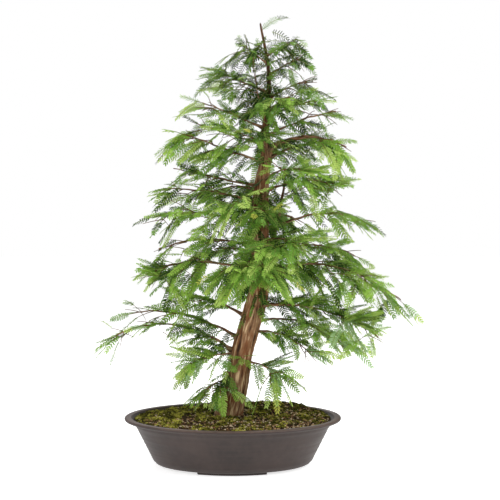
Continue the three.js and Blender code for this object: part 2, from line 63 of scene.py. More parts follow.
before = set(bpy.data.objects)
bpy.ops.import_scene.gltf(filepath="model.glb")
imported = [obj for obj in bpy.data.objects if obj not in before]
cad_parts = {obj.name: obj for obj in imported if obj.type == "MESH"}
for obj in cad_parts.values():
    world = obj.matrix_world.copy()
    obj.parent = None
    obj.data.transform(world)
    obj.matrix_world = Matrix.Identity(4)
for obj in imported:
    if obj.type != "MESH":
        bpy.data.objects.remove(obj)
CAD_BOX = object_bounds()
POT_LOW, POT_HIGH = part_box("pot")
MM = 0.001
FOOT_HEIGHT = 4
# The middle of the underside of the pot's wall in the row's frame, in millimetres.
MIDDLE = (POT_LOW + POT_HIGH) / 2 / MM
MIDDLE.z = FOOT_HEIGHT
REACH_LOW, REACH_HIGH = (Vector(corner) / MM - MIDDLE for corner in CAD_BOX)
REACH_LOW.z = 74  # the lowest that a spray hangs, just over the soil
UP = Vector((0, 0, 1))

# ---- Sizes of the pot, the soil and the trunk, in millimetres --------------------------

LIP_OVERHANG = 12
LIP_THICK = 4.6
LIP_WIDTH = 10  # flat top of the lip
BEND_FROM = 54  # the inner face bends out to the lip from this height
WALL = 4.6
BASE_HALF = 110  # half the long side, at the underside
FOOT_INSET = 8
FOOT_REACH = 47
FOOT_DEPTH = 15
FOOT_TALL = FOOT_HEIGHT + 0.6  # it runs a little way into the pot
FOOT_BEVEL = 0.7
FLOOR_THICK = 5
DRAIN_RADIUS = 9
DRAIN_OUT = 52  # from the middle to each drain hole
POT_SIDES = 160

SOIL_AT_TRUNK = 65.7
SOIL_EDGE = 60.5
SOIL_FLAT = 40  # the soil is level to this distance from the pot's middle
SOIL_RISE = 25  # the way over which its mound and swells then set in
SOIL_FALL = 75  # from this distance out it falls to its edge
SOIL_SWELL = 1.3
SOIL_ROOM = 0.3  # between the soil and the pot
SMOOTH_AT = -8  # x of the place at the trunk that has no cushions or crumbs round it
SMOOTH_OUT = (17, 26)  # distances from it at which they set in and are full
WALL_CLEAR = 2.5  # from the wall to the nearest tuft or grain
MOUND_HEIGHT = 7.5
MOUND_AT = (72, 80)
MOUND_SPREAD = (56, 26)

# Height, place of the middle and radius of the trunk from its foot to its tip.
TRUNK = [
    (66, -9, 0, 19), (78, -3, 0, 16.8), (100, 3, 0, 16), (143, 10, 1, 15.8),
    (180, 20, 3, 15.6), (218, 31, 5, 15), (240, 37, 6, 14), (300, 39, 6, 12.5),
    (360, 38.5, 4, 11), (401, 42, 2, 9.7), (432, 48, 1, 8.5), (470, 45.5, 0, 6.8),
    (510, 50.5, 0, 5.2), (554, 50.5, 1, 4), (586, 45.3, 1, 2.8), (620, 38, 0, 1.9),
]
TRUNK_SIDES = 28
TRUNK_BURIED = 5  # how far the bark runs on below the soil
FLARE_TOP = 112
FLARE_LOBES = 5
FLARE_DEPTH = 0.16
BARK_RING = 16.0  # radius at which the bark's pattern is laid out

# ---- Limbs, as in the solid model --------------------------------------------------------

# Where a limb leaves the trunk, its azimuth, how far out and up it goes and how much it arches,
# the share that is bare, the length of its twigs and its radius at the root.
Limb = namedtuple("Limb", "name height azimuth reach rise arch bare twig root")
LIMBS = [
    Limb(*row)
    for row in [
        ("leader", 249, 35, 47, 176, -6, 0.62, 20, 4.2),
        ("low_left_1", 118, 212, 74, -30, 9, 0.3, 14, 2),
        ("low_left_2", 150, 203, 112, -33, 15, 0.3, 20, 2.4),
        ("low_right", 141, 326, 98, -46, 15, 0.3, 17, 2.2),
        ("left_1", 147, 184, 206, 14, 40, 0.42, 28, 3.4),
        ("left_2", 168, 176, 192, 33, 24, 0.4, 27, 3.2),
        ("left_3", 200, 165, 156, 40, 12, 0.35, 27, 3),
        ("left_4", 262, 188, 186, -9, 24, 0.3, 30, 3.1),
        ("left_5", 300, 172, 180, -14, 20, 0.2, 29, 3.2),
        ("left_6", 332, 192, 182, 5, 16, 0.28, 29, 3),
        ("left_7", 365, 176, 164, 20, 8, 0.2, 27, 3),
        ("left_8", 388, 164, 166, 36, 0, 0.28, 26, 2.8),
        ("left_9", 422, 188, 146, 48, 0, 0.2, 24, 2.8),
        ("left_10", 446, 170, 131, 44, 0, 0.2, 22, 2.6),
        ("left_11", 470, 192, 120, 43, 2, 0.2, 21, 2.4),
        ("left_12", 520, 178, 97, 40, 2, 0.2, 19, 2),
        ("left_13", 562, 184, 54, 38, 0, 0.25, 12, 1.6),
        ("upright_left", 496, 200, 22, 84, -18, 0.3, 14, 2.2),
        ("right_1", 180, 345, 122, -61, 26, 0.45, 22, 2.7),
        ("right_2", 196, 22, 190, -63, 26, 0.35, 26, 3),
        ("right_3", 218, 358, 204, -64, 26, 0.42, 27, 3.4),
        ("right_4", 262, 352, 227, -60, 42, 0.3, 30, 3.5),
        ("right_5", 290, 14, 172, -14, 22, 0.22, 29, 3),
        ("right_6", 330, 356, 162, -13, 26, 0.3, 28, 2.9),
        ("right_7", 378, 350, 142, -4, 20, 0.22, 26, 2.8),
        ("right_8", 438, 340, 146, -20, 27, 0.3, 24, 3.8),
        ("right_9", 426, 14, 143, 20, 16, 0.22, 23, 2.8),
        ("right_10", 458, 356, 130, 37, 10, 0.2, 21, 2.6),
        ("right_11", 484, 10, 100, 30, 8, 0.2, 20, 2.2),
        ("right_12", 512, 346, 92, 20, 10, 0.2, 17, 2),
        ("right_13", 545, 4, 70, 27, 8, 0.2, 15, 1.8),
        ("right_14", 572, 352, 60, 24, 6, 0.2, 13, 1.6),
        ("top_1", 597, 345, 42, 6, 9, 0.25, 0, 1.3),
        ("top_2", 609, 5, 40, 20, 6, 0.25, 0, 1.2),
        ("front_1", 268, 258, 150, -10, 20, 0.24, 28, 3),
        ("front_2", 302, 292, 146, -12, 18, 0.22, 27, 3),
        ("front_3", 345, 240, 130, 4, 14, 0.22, 24, 2.8),
        ("front_4", 395, 304, 118, 4, 12, 0.22, 22, 2.6),
        ("front_5", 442, 232, 98, 18, 6, 0.22, 19, 2.2),
        ("front_6", 490, 300, 76, 18, 6, 0.22, 16, 2),
        ("back_1", 254, 74, 172, -4, 22, 0.24, 29, 3.2),
        ("back_2", 286, 122, 168, -10, 20, 0.22, 28, 3),
        ("back_3", 338, 66, 150, 2, 14, 0.22, 27, 3),
        ("back_4", 376, 116, 138, 14, 10, 0.22, 24, 2.8),
        ("back_5", 436, 78, 112, 18, 8, 0.22, 21, 2.4),
        ("back_6", 500, 108, 78, 22, 4, 0.22, 17, 2),
    ]
]
LIMB_NAMES = [limb.name for limb in LIMBS]
UPRIGHT = ("leader", "upright_left")
ON_LEADER = ("right_6",)  # it grows from the leader, not from the trunk

# Growth rule of the solid model.
TIP_SHARE = 0.26
CROOK = 0.022
TWIG_SPACING = 19
TWIG_ANGLE = 0.95
TWIG_SHRINK = 0.45
TWIG_SHORT = 1
LAYER_WEIGHT = 2
SPACE_SLACK = 16
GOLDEN_TURN = 2.4
BLADE_LENGTH = 58
BLADE_SPREAD = 1.02
BLADE_ROLL = 0.8
BLADE_HANG = (0.12, 0.5)

# Where it is carried on: each blade of the solid model is a branchlet with sprays of needles.
WOOD_SHARE = 0.45  # how much of the blade's length its wood runs
TWIG_RINGS = 5  # rings of points along a twig or a branchlet
LAST_SPRAY = (0.34, 0.46)  # where the last spray starts
SIDE_SPRAYS = (0.1, 0.25, 0.4)  # where the side sprays leave the branchlet
SIDE_ANGLE = (0.75, 1.1)
SIDE_LENGTH = (24, 36)
OUTWARD = (0.4, 1.3)  # how strongly a spray turns away from the trunk, toward the light
TURNING = (20, 100)  # distances from the trunk at which this sets in and is full
CROWN_FOOT = 120
CROWN_RISE = 330  # from the crown's foot to where its top begins
DENSITY = 0.017  # sprays that close a dense place, over its area
CLOSING_FROM = (16, 45)  # nearest and farthest wood that such a spray grows from
CLOSING_OVERSHOOT = 1.15  # its length over the way to its place
CROWN_MIDDLE = 38  # such sprays grow outward from here
INWARD_SLACK = 200
DROP = (1.1, 0.25)  # most that a spray's heading is turned down, at the crown's foot and top
STEEPEST = (-1.7, -0.5)  # lowest slope of a spray, at the same two places
RISING = 0.6  # highest slope of a spray
THINNED = 0.55  # share of the sprays that is missing at the tips of the limbs
SPRAY_ROLL = 0.9  # most that a spray turns about its own heading
SHOOT_SPACING = 5  # between the single sprays that line a limb
SHOOT_LENGTH = (22, 36)
TRUNK_SHOOTS = ((90, 215, 560), (120, 226, 380))  # how many, from which height to which
REACH_MARGIN = 2  # from the tips of sprays to the sides of the solid model's box
SHORTEST_SPRAY = 13
BARE_BRANCHLET = 14  # a branchlet with no spray so near has dropped off
BARE_TWIG = 16
LIMB_SLENDER = 0.62  # the wood under the foliage over the solid model's
STOUT = 3.6  # a limb with a thicker root keeps the solid model's thickness near the trunk
LIMB_WOOD = 0.3  # how far a limb's wood runs on past its last twig
NEEDLE_GAP = 3.0  # between pairs of needles
SHOOT_RINGS = 4  # rings of points along the shoot of a spray
SPRAY_KINDS = (22, 29, 37, 56)  # lengths of the sprays that are modelled and then copied
SPRAY_SLENDER = (1, 1, 0.55, 0.55)  # width of the needles of each variant over the usual
SPARSE = (0.12, 0.6)  # share of the sprays with slender needles, low down and at the top
SPARSE_TIPS = 0.35  # what is added to that share at the tips of the limbs

# Single sprays by the trunk's foot and below the lowest limbs: root, azimuth and pitch in
# degrees, length, tint of the spray and of its tip.
SINGLES = [
    ((12, -15, 149), 205, 8, 20, "fresh", "light"),
    ((14, -15, 147), 262, -12, 17, "fresh", "light"),
    ((17, -14, 150), 318, 14, 21, "light", "light"),
    ((10, -16, 143), 232, -30, 18, "middle", "fresh"),
    ((18, -14, 145), 300, -25, 18, "fresh", "fresh"),
    ((-8, -15, 128), 205, -20, 26, "middle", "fresh"),
    ((-7, -17, 126), 250, -52, 30, "deep", "middle"),
    ((-4, -18, 122), 296, -48, 34, "middle", "fresh"),
    ((-10, -16, 120), 225, -48, 28, "deep", "middle"),
    ((-22, -14, 111), 262, -78, 31, "pale", "pale"),
    ((-24, -12, 112), 200, -24, 36, "pale", "light"),
    ((54, -34, 124), 240, -66, 38, "pale", "light"),
    ((60, -36, 123), 286, -82, 44, "pale", "yellow"),
    ((66, -38, 120), 330, -58, 34, "pale", "light"),
]
# Places where the sky shows through the crown from the front: x, z, half width, half height.
OPENINGS = [
    (-8, 201, 20, 18), (55, 154, 13, 10), (62, 207, 11, 8), (-54, 337, 11, 7), (-31, 272, 11, 7),
    (-72, 307, 14, 7), (-10, 455, 13, 10), (21, 434, 10, 6), (4, 390, 11, 6), (62, 412, 7, 8),
    (67, 382, 7, 8), (112, 487, 17, 8), (67, 482, 7, 6), (96, 340, 13, 7), (116, 307, 8, 6),
    (-37, 509, 16, 6), (-123, 162, 32, 17), (-106, 398, 13, 11), (-6, 581, 11, 11), (132, 544, 14, 13),
    (165, 494, 20, 6), (185, 437, 16, 13), (197, 393, 17, 10), (170, 361, 17, 11), (216, 342, 17, 8),
    (198, 296, 17, 13), (264, 232, 14, 7), (115, 128, 17, 17), (168, 132, 13, 11), (-119, 303, 16, 13),
    (-120, 333, 13, 7), (-71, 383, 20, 6), (-152, 246, 20, 10), (-117, 207, 20, 6), (-152, 164, 13, 13),
    (99, 547, 16, 7), (130, 530, 7, 8), (153, 468, 11, 13), (188, 178, 7, 10), (-134, 200, 8, 7),
    (-72, 287, 11, 6), (110, 338, 8, 6), (133, 342, 8, 7), (165, 321, 13, 4), (177, 293, 11, 6),
    (-86, 407, 7, 6), (-39, 505, 13, 4), (-52, 494, 8, 4), (-63, 475, 8, 6), (-71, 467, 7, 4),
    (-46, 457, 16, 6), (-116, 388, 13, 3), (-127, 373, 7, 4), (-95, 338, 8, 6), (-66, 331, 10, 6),
    (-96, 311, 7, 6), (-113, 290, 8, 6), (-85, 303, 6, 6), (-96, 280, 8, 3), (-56, 266, 7, 4),
    (-127, 251, 6, 6), (-131, 234, 11, 4), (-107, 236, 7, 7), (-167, 212, 16, 4), (-154, 201, 6, 4),
    (-90, 198, 8, 4), (-106, 184, 13, 6), (-178, 183, 14, 4), (-73, 169, 3, 8), (89, 605, 8, 4),
    (112, 593, 8, 4), (119, 577, 7, 8), (117, 563, 6, 7), (72, 535, 6, 7), (81, 526, 6, 4),
    (91, 518, 6, 3), (109, 532, 8, 3), (139, 503, 10, 6), (170, 478, 7, 4), (161, 383, 11, 6),
    (147, 369, 6, 7), (106, 364, 6, 4), (84, 347, 6, 4), (187, 348, 17, 4), (212, 331, 7, 7),
    (187, 260, 4, 4), (223, 255, 11, 4), (229, 239, 13, 3), (252, 225, 16, 4), (71, 210, 4, 6),
    (57, 188, 8, 6), (206, 234, 8, 6), (232, 198, 16, 6), (216, 160, 14, 7), (-95, 416, 17, 4),
    (222, 174, 13, 6), (233, 224, 10, 4), (-126, 320, 11, 4), (-99, 359, 6, 4), (-72, 450, 6, 4),
    (-133, 195, 8, 4), (-119, 245, 8, 3), (-99, 232, 6, 4), (165, 443, 11, 10), (163, 405, 11, 4),
    (151, 378, 8, 4), (99, 157, 4, 8), (-41, 68, 28, 7), (-6, 73, 7, 11), (41, 75, 10, 8),
    (163, 304, 11, 4), (141, 146, 10, 4), (180, 145, 6, 6), (208, 135, 10, 11), (-86, 146, 11, 4),
    (-96, 126, 16, 6), (-90, 108, 13, 6), (-41, 121, 11, 7), (-31, 99, 6, 7), (47, 101, 7, 13),
    (78, 98, 11, 10), (14, 611, 7, 8), (-7, 598, 4, 4), (-38, 487, 6, 4), (182, 317, 6, 6),
    (174, 303, 6, 4),
]
# Places where sprays that reach in from the wood close the crown, given in the same way.
DENSE = [
    (123, 246, 17, 20), (88, 242, 14, 17), (180, 214, 17, 20), (215, 203, 17, 10), (99, 204, 17, 13),
    (132, 325, 14, 11), (132, 416, 8, 13), (165, 412, 13, 13), (156, 219, 10, 11), (-61, 246, 13, 13),
    (-38, 258, 11, 10), (-8, 234, 17, 10), (-35, 218, 11, 14), (-61, 211, 20, 7), (-55, 193, 14, 7),
    (-58, 169, 21, 16), (-93, 164, 13, 14), (-66, 317, 17, 7), (-27, 325, 8, 8), (3, 324, 13, 10),
    (50, 174, 11, 10), (-30, 426, 11, 11), (33, 348, 20, 14), (41, 313, 23, 17), (35, 277, 25, 17),
    (24, 251, 20, 11), (71, 468, 16, 13), (133, 465, 16, 6), (182, 422, 7, 7), (230, 212, 17, 8),
    (222, 180, 13, 8), (197, 273, 11, 7), (137, 518, 8, 7), (98, 324, 8, 11), (-75, 434, 28, 6),
    (-28, 478, 11, 8), (-52, 520, 11, 7), (-114, 382, 11, 6), (-124, 280, 10, 6), (-114, 232, 10, 11),
    (13, 405, 8, 10), (75, 162, 11, 11), (-86, 436, 20, 11), (-103, 423, 17, 4), (-104, 364, 8, 6),
    (-54, 327, 6, 11), (-103, 320, 20, 4), (-51, 241, 10, 8), (-21, 232, 7, 7), (-1, 229, 7, 11),
    (-31, 207, 7, 6), (-21, 181, 20, 8), (-46, 412, 11, 6), (-21, 414, 11, 7), (67, 601, 10, 4),
    (106, 498, 14, 4), (146, 479, 17, 4), (158, 330, 7, 6), (180, 307, 10, 6), (54, 210, 6, 7),
    (194, 214, 20, 13), (229, 215, 17, 6), (211, 186, 14, 8), (188, 163, 13, 8), (102, 177, 20, 8),
    (133, 203, 14, 8), (163, 414, 8, 11), (-48, 519, 17, 4), (-71, 496, 6, 6), (-35, 478, 7, 6),
    (6, 478, 6, 7), (-89, 440, 17, 10), (-117, 383, 7, 4), (-15, 236, 10, 11), (-61, 519, 13, 4),
    (-35, 487, 13, 7), (-65, 393, 13, 4), (-128, 284, 10, 6), (-96, 318, 17, 4), (-58, 330, 8, 11),
    (-144, 203, 6, 7), (-95, 164, 11, 14), (137, 519, 8, 6), (106, 499, 13, 4), (84, 546, 7, 6),
    (157, 479, 14, 4), (180, 422, 10, 7), (165, 412, 11, 8), (170, 388, 10, 4), (164, 375, 8, 4),
    (93, 331, 7, 7), (158, 330, 7, 6), (182, 308, 10, 6), (123, 253, 7, 14), (132, 236, 7, 11),
    (86, 238, 8, 7), (48, 191, 11, 4), (226, 214, 8, 6), (232, 241, 13, 6), (165, 142, 8, 7),
    (182, 164, 7, 7), (75, 156, 11, 11), (81, 139, 8, 7), (112, 167, 7, 6), (129, 170, 4, 7),
    (219, 178, 8, 4), (222, 157, 11, 4), (212, 154, 6, 6), (168, 176, 7, 7), (-144, 205, 7, 7),
    (-140, 218, 10, 4), (-93, 204, 13, 4), (-86, 188, 10, 6), (-111, 318, 13, 6), (-93, 318, 11, 6),
    (-71, 317, 8, 4), (-66, 307, 8, 4), (-80, 297, 10, 4), (-85, 289, 4, 6), (-35, 211, 7, 8),
    (-7, 232, 4, 10), (-62, 256, 4, 8), (-54, 245, 6, 4), (-103, 239, 7, 6), (-113, 232, 7, 6),
    (-79, 371, 7, 7), (-99, 365, 6, 4), (-41, 542, 6, 8), (-46, 526, 10, 8), (-61, 518, 10, 4),
    (-62, 506, 8, 4), (19, 549, 7, 7), (58, 560, 6, 6), (137, 519, 10, 7), (99, 501, 13, 4),
    (61, 479, 6, 8), (69, 460, 13, 3), (136, 465, 14, 4), (144, 481, 18, 3), (158, 478, 7, 4),
    (173, 386, 7, 6), (168, 375, 7, 4), (140, 369, 4, 7), (27, 443, 6, 7), (185, 304, 6, 6),
    (132, 239, 10, 7), (108, 239, 13, 6), (156, 330, 7, 7), (141, 318, 4, 6), (136, 328, 4, 7),
    (122, 330, 6, 7), (88, 333, 6, 6), (75, 359, 4, 7), (-96, 440, 14, 8), (-120, 383, 10, 4),
    (-62, 485, 13, 4), (-39, 262, 8, 4), (197, 174, 8, 7), (173, 167, 7, 7), (-106, 157, 8, 10),
    (-95, 174, 8, 8), (-86, 162, 8, 7), (-63, 171, 11, 10), (-120, 178, 7, 6), (103, 501, 14, 6),
    (-144, 205, 8, 7), (-117, 263, 10, 7), (151, 475, 11, 6), (126, 458, 25, 6), (95, 464, 17, 6),
    (130, 482, 20, 4), (99, 502, 13, 6), (158, 446, 11, 6), (24, 567, 7, 7),
]
# Tips that have turned yellow, seen from the front: (x, z).
YELLOW_TIPS = [(30, 345), (60, 348), (105, 239), (130, 249), (-11, 228), (-48, 250), (20, 472)]

# Needle pieces and the limbs whose masses each one stands for.
REGIONS = {
    "needles_low": ["low_left_1", "low_left_2", "low_right", "right_1", "right_2"],
    "needles_left_low": ["left_1", "left_2", "left_3"],
    "needles_left_middle": ["left_4", "left_5", "left_6"],
    "needles_left_high": [f"left_{i}" for i in range(7, 14)],
    "needles_right_low": ["right_3", "right_4", "right_5"],
    "needles_right_middle": ["leader", "right_6", "right_7", "right_8"],
    "needles_right_high": [f"right_{i}" for i in range(9, 15)],
    "needles_top": ["upright_left", "top_1", "top_2"],
    "needles_front": [f"front_{i}" for i in range(1, 7)],
    "needles_back": [f"back_{i}" for i in range(1, 7)],
}


def srgb(red, green, blue):
    """A display colour from 0 to 255 as the linear colour that shaders take."""
    shares = [channel / 255 for channel in (red, green, blue)]
    return [c / 12.92 if c <= 0.04045 else ((c + 0.055) / 1.055) ** 2.4 for c in shares]


# Needle tints: the two colours that each one is mottled in. Which one a spray gets is partly painted shade
# and light: darker greens inside the crown, lighter ones outside.
TINTS = {
    "deep": (srgb(28, 50, 10), srgb(58, 90, 27)),
    "middle": (srgb(88, 131, 44), srgb(122, 165, 68)),
    "fresh": (srgb(125, 168, 60), srgb(161, 199, 85)),
    "light": (srgb(162, 192, 90), srgb(192, 216, 116)),
    "pale": (srgb(138, 172, 114), srgb(170, 202, 146)),
    "yellow": (srgb(196, 200, 80), srgb(222, 222, 110)),
}
TINT_NAMES = list(TINTS)
LOWEST_GREEN = 100  # height of the lowest sprays
GREEN_RISE = 500  # from the lowest sprays to the highest
PALE_LOW = 0.7  # share of pale sprays among the lowest
TIP_FROM = 0.62  # where on a spray its tip begins
FRESH_TIPS = 0.45  # share of the sprays whose tips have the fresher tint given here
LIGHTER = {"deep": "middle", "middle": "fresh", "fresh": "light", "light": "light", "pale": "light"}
# Tones of the soil, of the ground under the moss, of the moss and of the grit, made up in the
# same way.
SOIL_TONES = (srgb(24, 17, 10), srgb(84, 64, 40))
UNDER_MOSS = (srgb(28, 26, 9), srgb(104, 102, 34))
MOSS_TONES = {
    "moss_deep": (srgb(44, 44, 14), srgb(76, 74, 24)),
    "moss_olive": (srgb(104, 100, 36), srgb(140, 134, 52)),
    "moss_bright": (srgb(176, 172, 64), srgb(216, 210, 104)),
}
GRIT_TONES = {
    "grit_tan": (srgb(128, 98, 68), srgb(186, 152, 112)),
    "grit_pale": (srgb(176, 156, 128), srgb(216, 198, 168)),
    "grit_red": (srgb(112, 76, 52), srgb(156, 112, 80)),
    "crumb": (srgb(30, 22, 14), srgb(64, 48, 32)),
}
GRIT_WEIGHTS = (3, 2.2, 0.6, 4.2)  # how common each tone of grit is
TWIG_TONES = (srgb(70, 50, 32), srgb(126, 94, 60))
SHOOT_TONES = (srgb(96, 116, 44), srgb(146, 160, 80))
# Furrow, body, weathered patch and peeling strip of the bark on the limbs.
YOUNG_BARK = (srgb(84, 60, 42), srgb(150, 108, 76), srgb(156, 128, 98), srgb(200, 166, 128))


# ---- Settings --------------------------------------------------------------------------


class PotSettings(bpy.types.PropertyGroup):
    half_length: FloatProperty(
        name="Half length",
        description="From the middle of the oval to the end of the lip",
        default=(POT_HIGH.x - POT_LOW.x) / 2,
        unit="LENGTH",
    )
    narrower: FloatProperty(
        name="Narrower",
        description="Half of the long side less half of the short side, at any height",
        default=(POT_HIGH.x - POT_LOW.x - POT_HIGH.y + POT_LOW.y) / 2,
        unit="LENGTH",
    )
    rim_height: FloatProperty(
        name="Rim height",
        description="Top of the lip over the underside of the wall",
        default=POT_HIGH.z - FOOT_HEIGHT * MM,
        unit="LENGTH",
    )
    clay: FloatVectorProperty(
        name="Clay",
        description="Colour of the unglazed clay",
        default=srgb(50, 39, 35),
        subtype="COLOR",
    )


class SoilSettings(bpy.types.PropertyGroup):
    moss_tufts: IntProperty(
        name="Moss tufts", description="Small tufts that make up the moss", default=15000
    )
    grit_grains: IntProperty(
        name="Grit", description="Grains of grit among the moss", default=3000
    )
    crumb_height: FloatProperty(
        name="Crumb height",
        description="How rough the bare soil is",
        default=1.6 * MM,
        unit="LENGTH",
    )


class BarkSettings(bpy.types.PropertyGroup):
    relief: FloatProperty(
        name="Relief",
        description="Depth of the furrows at the foot of the trunk",
        default=2.2 * MM,
        unit="LENGTH",
    )
    furrow: FloatVectorProperty(
        name="Furrow", description="Colour deep in the bark", default=srgb(58, 37, 24), subtype="COLOR"
    )
    body: FloatVectorProperty(
        name="Body", description="Colour of most of the bark", default=srgb(128, 82, 52), subtype="COLOR"
    )
    patch: FloatVectorProperty(
        name="Patch", description="Weathered grey-brown bark", default=srgb(146, 110, 80), subtype="COLOR"
    )
    strip: FloatVectorProperty(
        name="Strip",
        description="Colour of the peeling strips",
        default=srgb(216, 184, 144),
        subtype="COLOR",
    )


class NeedleSettings(bpy.types.PropertyGroup):
    length: FloatProperty(
        name="Needle length", description="Longest needles of a spray", default=7.2 * MM, unit="LENGTH"
    )
    width: FloatProperty(
        name="Needle width", description="Widest part of a needle", default=1.8 * MM, unit="LENGTH"
    )
    droop: FloatProperty(
        name="Droop", description="How far a spray hangs, over its length", default=0.17, subtype="FACTOR"
    )


class StageSettings(bpy.types.PropertyGroup):
    distance: FloatProperty(
        name="Camera distance", description="From the pot's middle", default=1.32, unit="LENGTH"
    )
    eye_height: FloatProperty(
        name="Camera height",
        description="Over the underside of the pot's wall",
        default=0.2986,
        unit="LENGTH",
    )
    aside: FloatProperty(
        name="Camera aside", description="Right of the pot's middle", default=0.0241, unit="LENGTH"
    )
    lens: FloatProperty(name="Lens", description="Focal length in mm", default=67.25)
    floor: FloatVectorProperty(
        name="Floor", description="Colour of the floor", default=(0.8, 0.8, 0.8), subtype="COLOR"
    )


SETTINGS = {
    "bonsai_pot": PotSettings,
    "bonsai_soil": SoilSettings,
    "bonsai_bark": BarkSettings,
    "bonsai_needles": NeedleSettings,
    "bonsai_stage": StageSettings,
}


# ---- Making meshes -----------------------------------------------------------------------


def lerp(a, b, share):
    """The value a share of the way from a to b."""
    return a + (b - a) * share


def smoothstep(x, low, high):
    """A smooth step from 0 at low to 1 at high."""
    share = np.clip((x - low) / (high - low), 0, 1)
    return share * share * (3 - 2 * share)


def start_modelling():
    """Object mode with nothing selected, ready for a new primitive."""
    if bpy.context.object and bpy.context.object.mode != "OBJECT":
        bpy.ops.object.mode_set(mode="OBJECT")
    bpy.ops.object.select_all(action="DESELECT")


def edit_all():
    """Edit mode with the whole of the new primitive selected."""
    bpy.ops.object.mode_set(mode="EDIT")
    bpy.ops.mesh.select_all(action="SELECT")


def close_modelling():
    """Turns every face outward and goes back to object mode."""
    bpy.ops.mesh.select_all(action="SELECT")
    bpy.ops.mesh.normals_make_consistent(inside=False)
    bpy.ops.object.mode_set(mode="OBJECT")


def apply_place():
    """Moves the selected piece's place, turn and size into its mesh."""
    bpy.ops.object.transform_apply(location=True, rotation=True, scale=True)


def place_of(x, y, z):
    """A place in millimetres round the pot as one in metres in the row's frame."""
    return (Vector((x, y, z)) + MIDDLE) * MM


def apply_modifier(piece, kind, **values):
    """Adds a modifier with the given values and applies it."""
    modifier = piece.modifiers.new(kind.title(), kind)
    for name, value in values.items():
        setattr(modifier, name, value)
    bpy.context.view_layer.objects.active = piece
    bpy.ops.object.modifier_apply(modifier=modifier.name)


def settle(piece, name, slot, materials, *replaced):
    """Finishes a piece: its materials, its place in its mesh, its body, and it hides the solid model's
    parts that it replaces. The slot is not used.
    """
    for material in materials:
        piece.data.materials.append(material)
    start_modelling()
    piece.name = piece.data.name = name
    piece.select_set(True)
    bpy.context.view_layer.objects.active = piece
    apply_place()
    piece.select_set(False)
    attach(piece, "root")
    if replaced:
        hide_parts(*replaced)


def raw_points(mesh):
    """The mesh's own vertices as rows."""
    flat = np.empty(len(mesh.vertices) * 3)
    mesh.vertices.foreach_get("co", flat)
    return flat.reshape(-1, 3)


def set_mesh_points(mesh, points):
    """Places the mesh's vertices by rows in millimetres round the pot."""
    mesh.vertices.foreach_set("co", ((points + np.array(MIDDLE)) * MM).ravel())
    mesh.update()


def mesh_from_arrays(name, points, faces, tints=None):
    """An object from rows of points in millimetres and rows of triangle corners."""
    mesh = bpy.data.meshes.new(name)
    mesh.vertices.add(len(points))
    set_mesh_points(mesh, points)
    mesh.loops.add(faces.size)
    mesh.loops.foreach_set("vertex_index", faces.ravel().astype(np.int32))
    mesh.polygons.add(len(faces))
    mesh.polygons.foreach_set("loop_start", np.arange(0, faces.size, 3, dtype=np.int32))
    if tints is not None:
        mesh.polygons.foreach_set("material_index", tints.astype(np.int32))
    mesh.update(calc_edges=True)
    piece = bpy.data.objects.new(name, mesh)
    bpy.context.collection.objects.link(piece)
    return piece


def set_attribute(mesh, name, values):
    """Values or vectors of each vertex that a material reads by name."""
    kind, field = ("FLOAT", "value") if values.ndim == 1 else ("FLOAT_VECTOR", "vector")
    attribute = mesh.attributes.new(name, kind, "POINT")
    attribute.data.foreach_set(field, values.astype(np.float32).ravel())


def joined(parts):
    """Points and faces of several (points, faces) as one pair."""
    offsets = np.cumsum([0] + [len(points) for points, _ in parts[:-1]])
    points = np.concatenate([points for points, _ in parts])
    faces = np.concatenate([faces + offset for (_, faces), offset in zip(parts, offsets)])
    return points, faces


def repeated(faces, count, step):
    """The faces of one part again for each of count copies, whose points follow by a step."""
    return (faces[None] + np.arange(count)[:, None, None] * step).reshape(-1, 3)


def noise_of(points):
    """Smooth noise from -1 to 1 at each row of points."""
    return np.array([noise.noise(Vector(point)) for point in points])


def on_plan(x, y):
    """Rows of places at height 0."""
    return np.stack([x, y, np.zeros_like(x)], axis=-1)


def uniforms(draw, low, high, count):
    """A row of random numbers between low and high."""
    return np.array([draw.uniform(low, high) for _ in range(count)])


def tubes(paths, radii, sides):
    """Closed round tubes along paths (count, rings, 3) with radii (count, rings)."""
    paths = np.asarray(paths, float)
    radii = np.asarray(radii, float)
    count, rings, _ = paths.shape
    ahead = unit_rows(np.gradient(paths, axis=1))
    steep = np.abs(ahead[:, :, 2]).mean(axis=1) > 0.9
    reference = np.where(steep[:, None, None], (1.0, 0.0, 0.0), (0.0, 0.0, 1.0))
    across = unit_rows(np.cross(ahead, np.broadcast_to(reference, ahead.shape)))
    over = np.cross(across, ahead)
    turns = np.arange(sides) * 2 * math.pi / sides
    round_about = (
        across[:, :, None] * np.cos(turns)[None, None, :, None]
        + over[:, :, None] * np.sin(turns)[None, None, :, None]
    )
    points = paths[:, :, None] + radii[:, :, None, None] * round_about
    return points.reshape(-1, 3), repeated(tube_faces(rings, sides), count, rings * sides)


def tapering(first, last, rings, count):
    """Radii of count tubes that all taper from the first radius to the last."""
    return np.tile(np.linspace(first, last, rings), (count, 1))


def tube_faces(rings, sides):
    """Triangles of one closed tube whose vertices run ring by ring."""
    faces = []
    for ring in range(rings - 1):
        for k in range(sides):
            a = ring * sides + k
            b = ring * sides + (k + 1) % sides
            faces += [(a, a + sides, b + sides), (a, b + sides, b)]
    last = (rings - 1) * sides
    for k in range(1, sides - 1):
        faces += [(0, k, k + 1), (last, last + k + 1, last + k)]
    return np.array(faces)


def unit_rows(rows):
    """The rows at length 1."""
    return rows / np.maximum(np.linalg.norm(rows, axis=-1, keepdims=True), 1e-9)


# ---- Materials ---------------------------------------------------------------------------


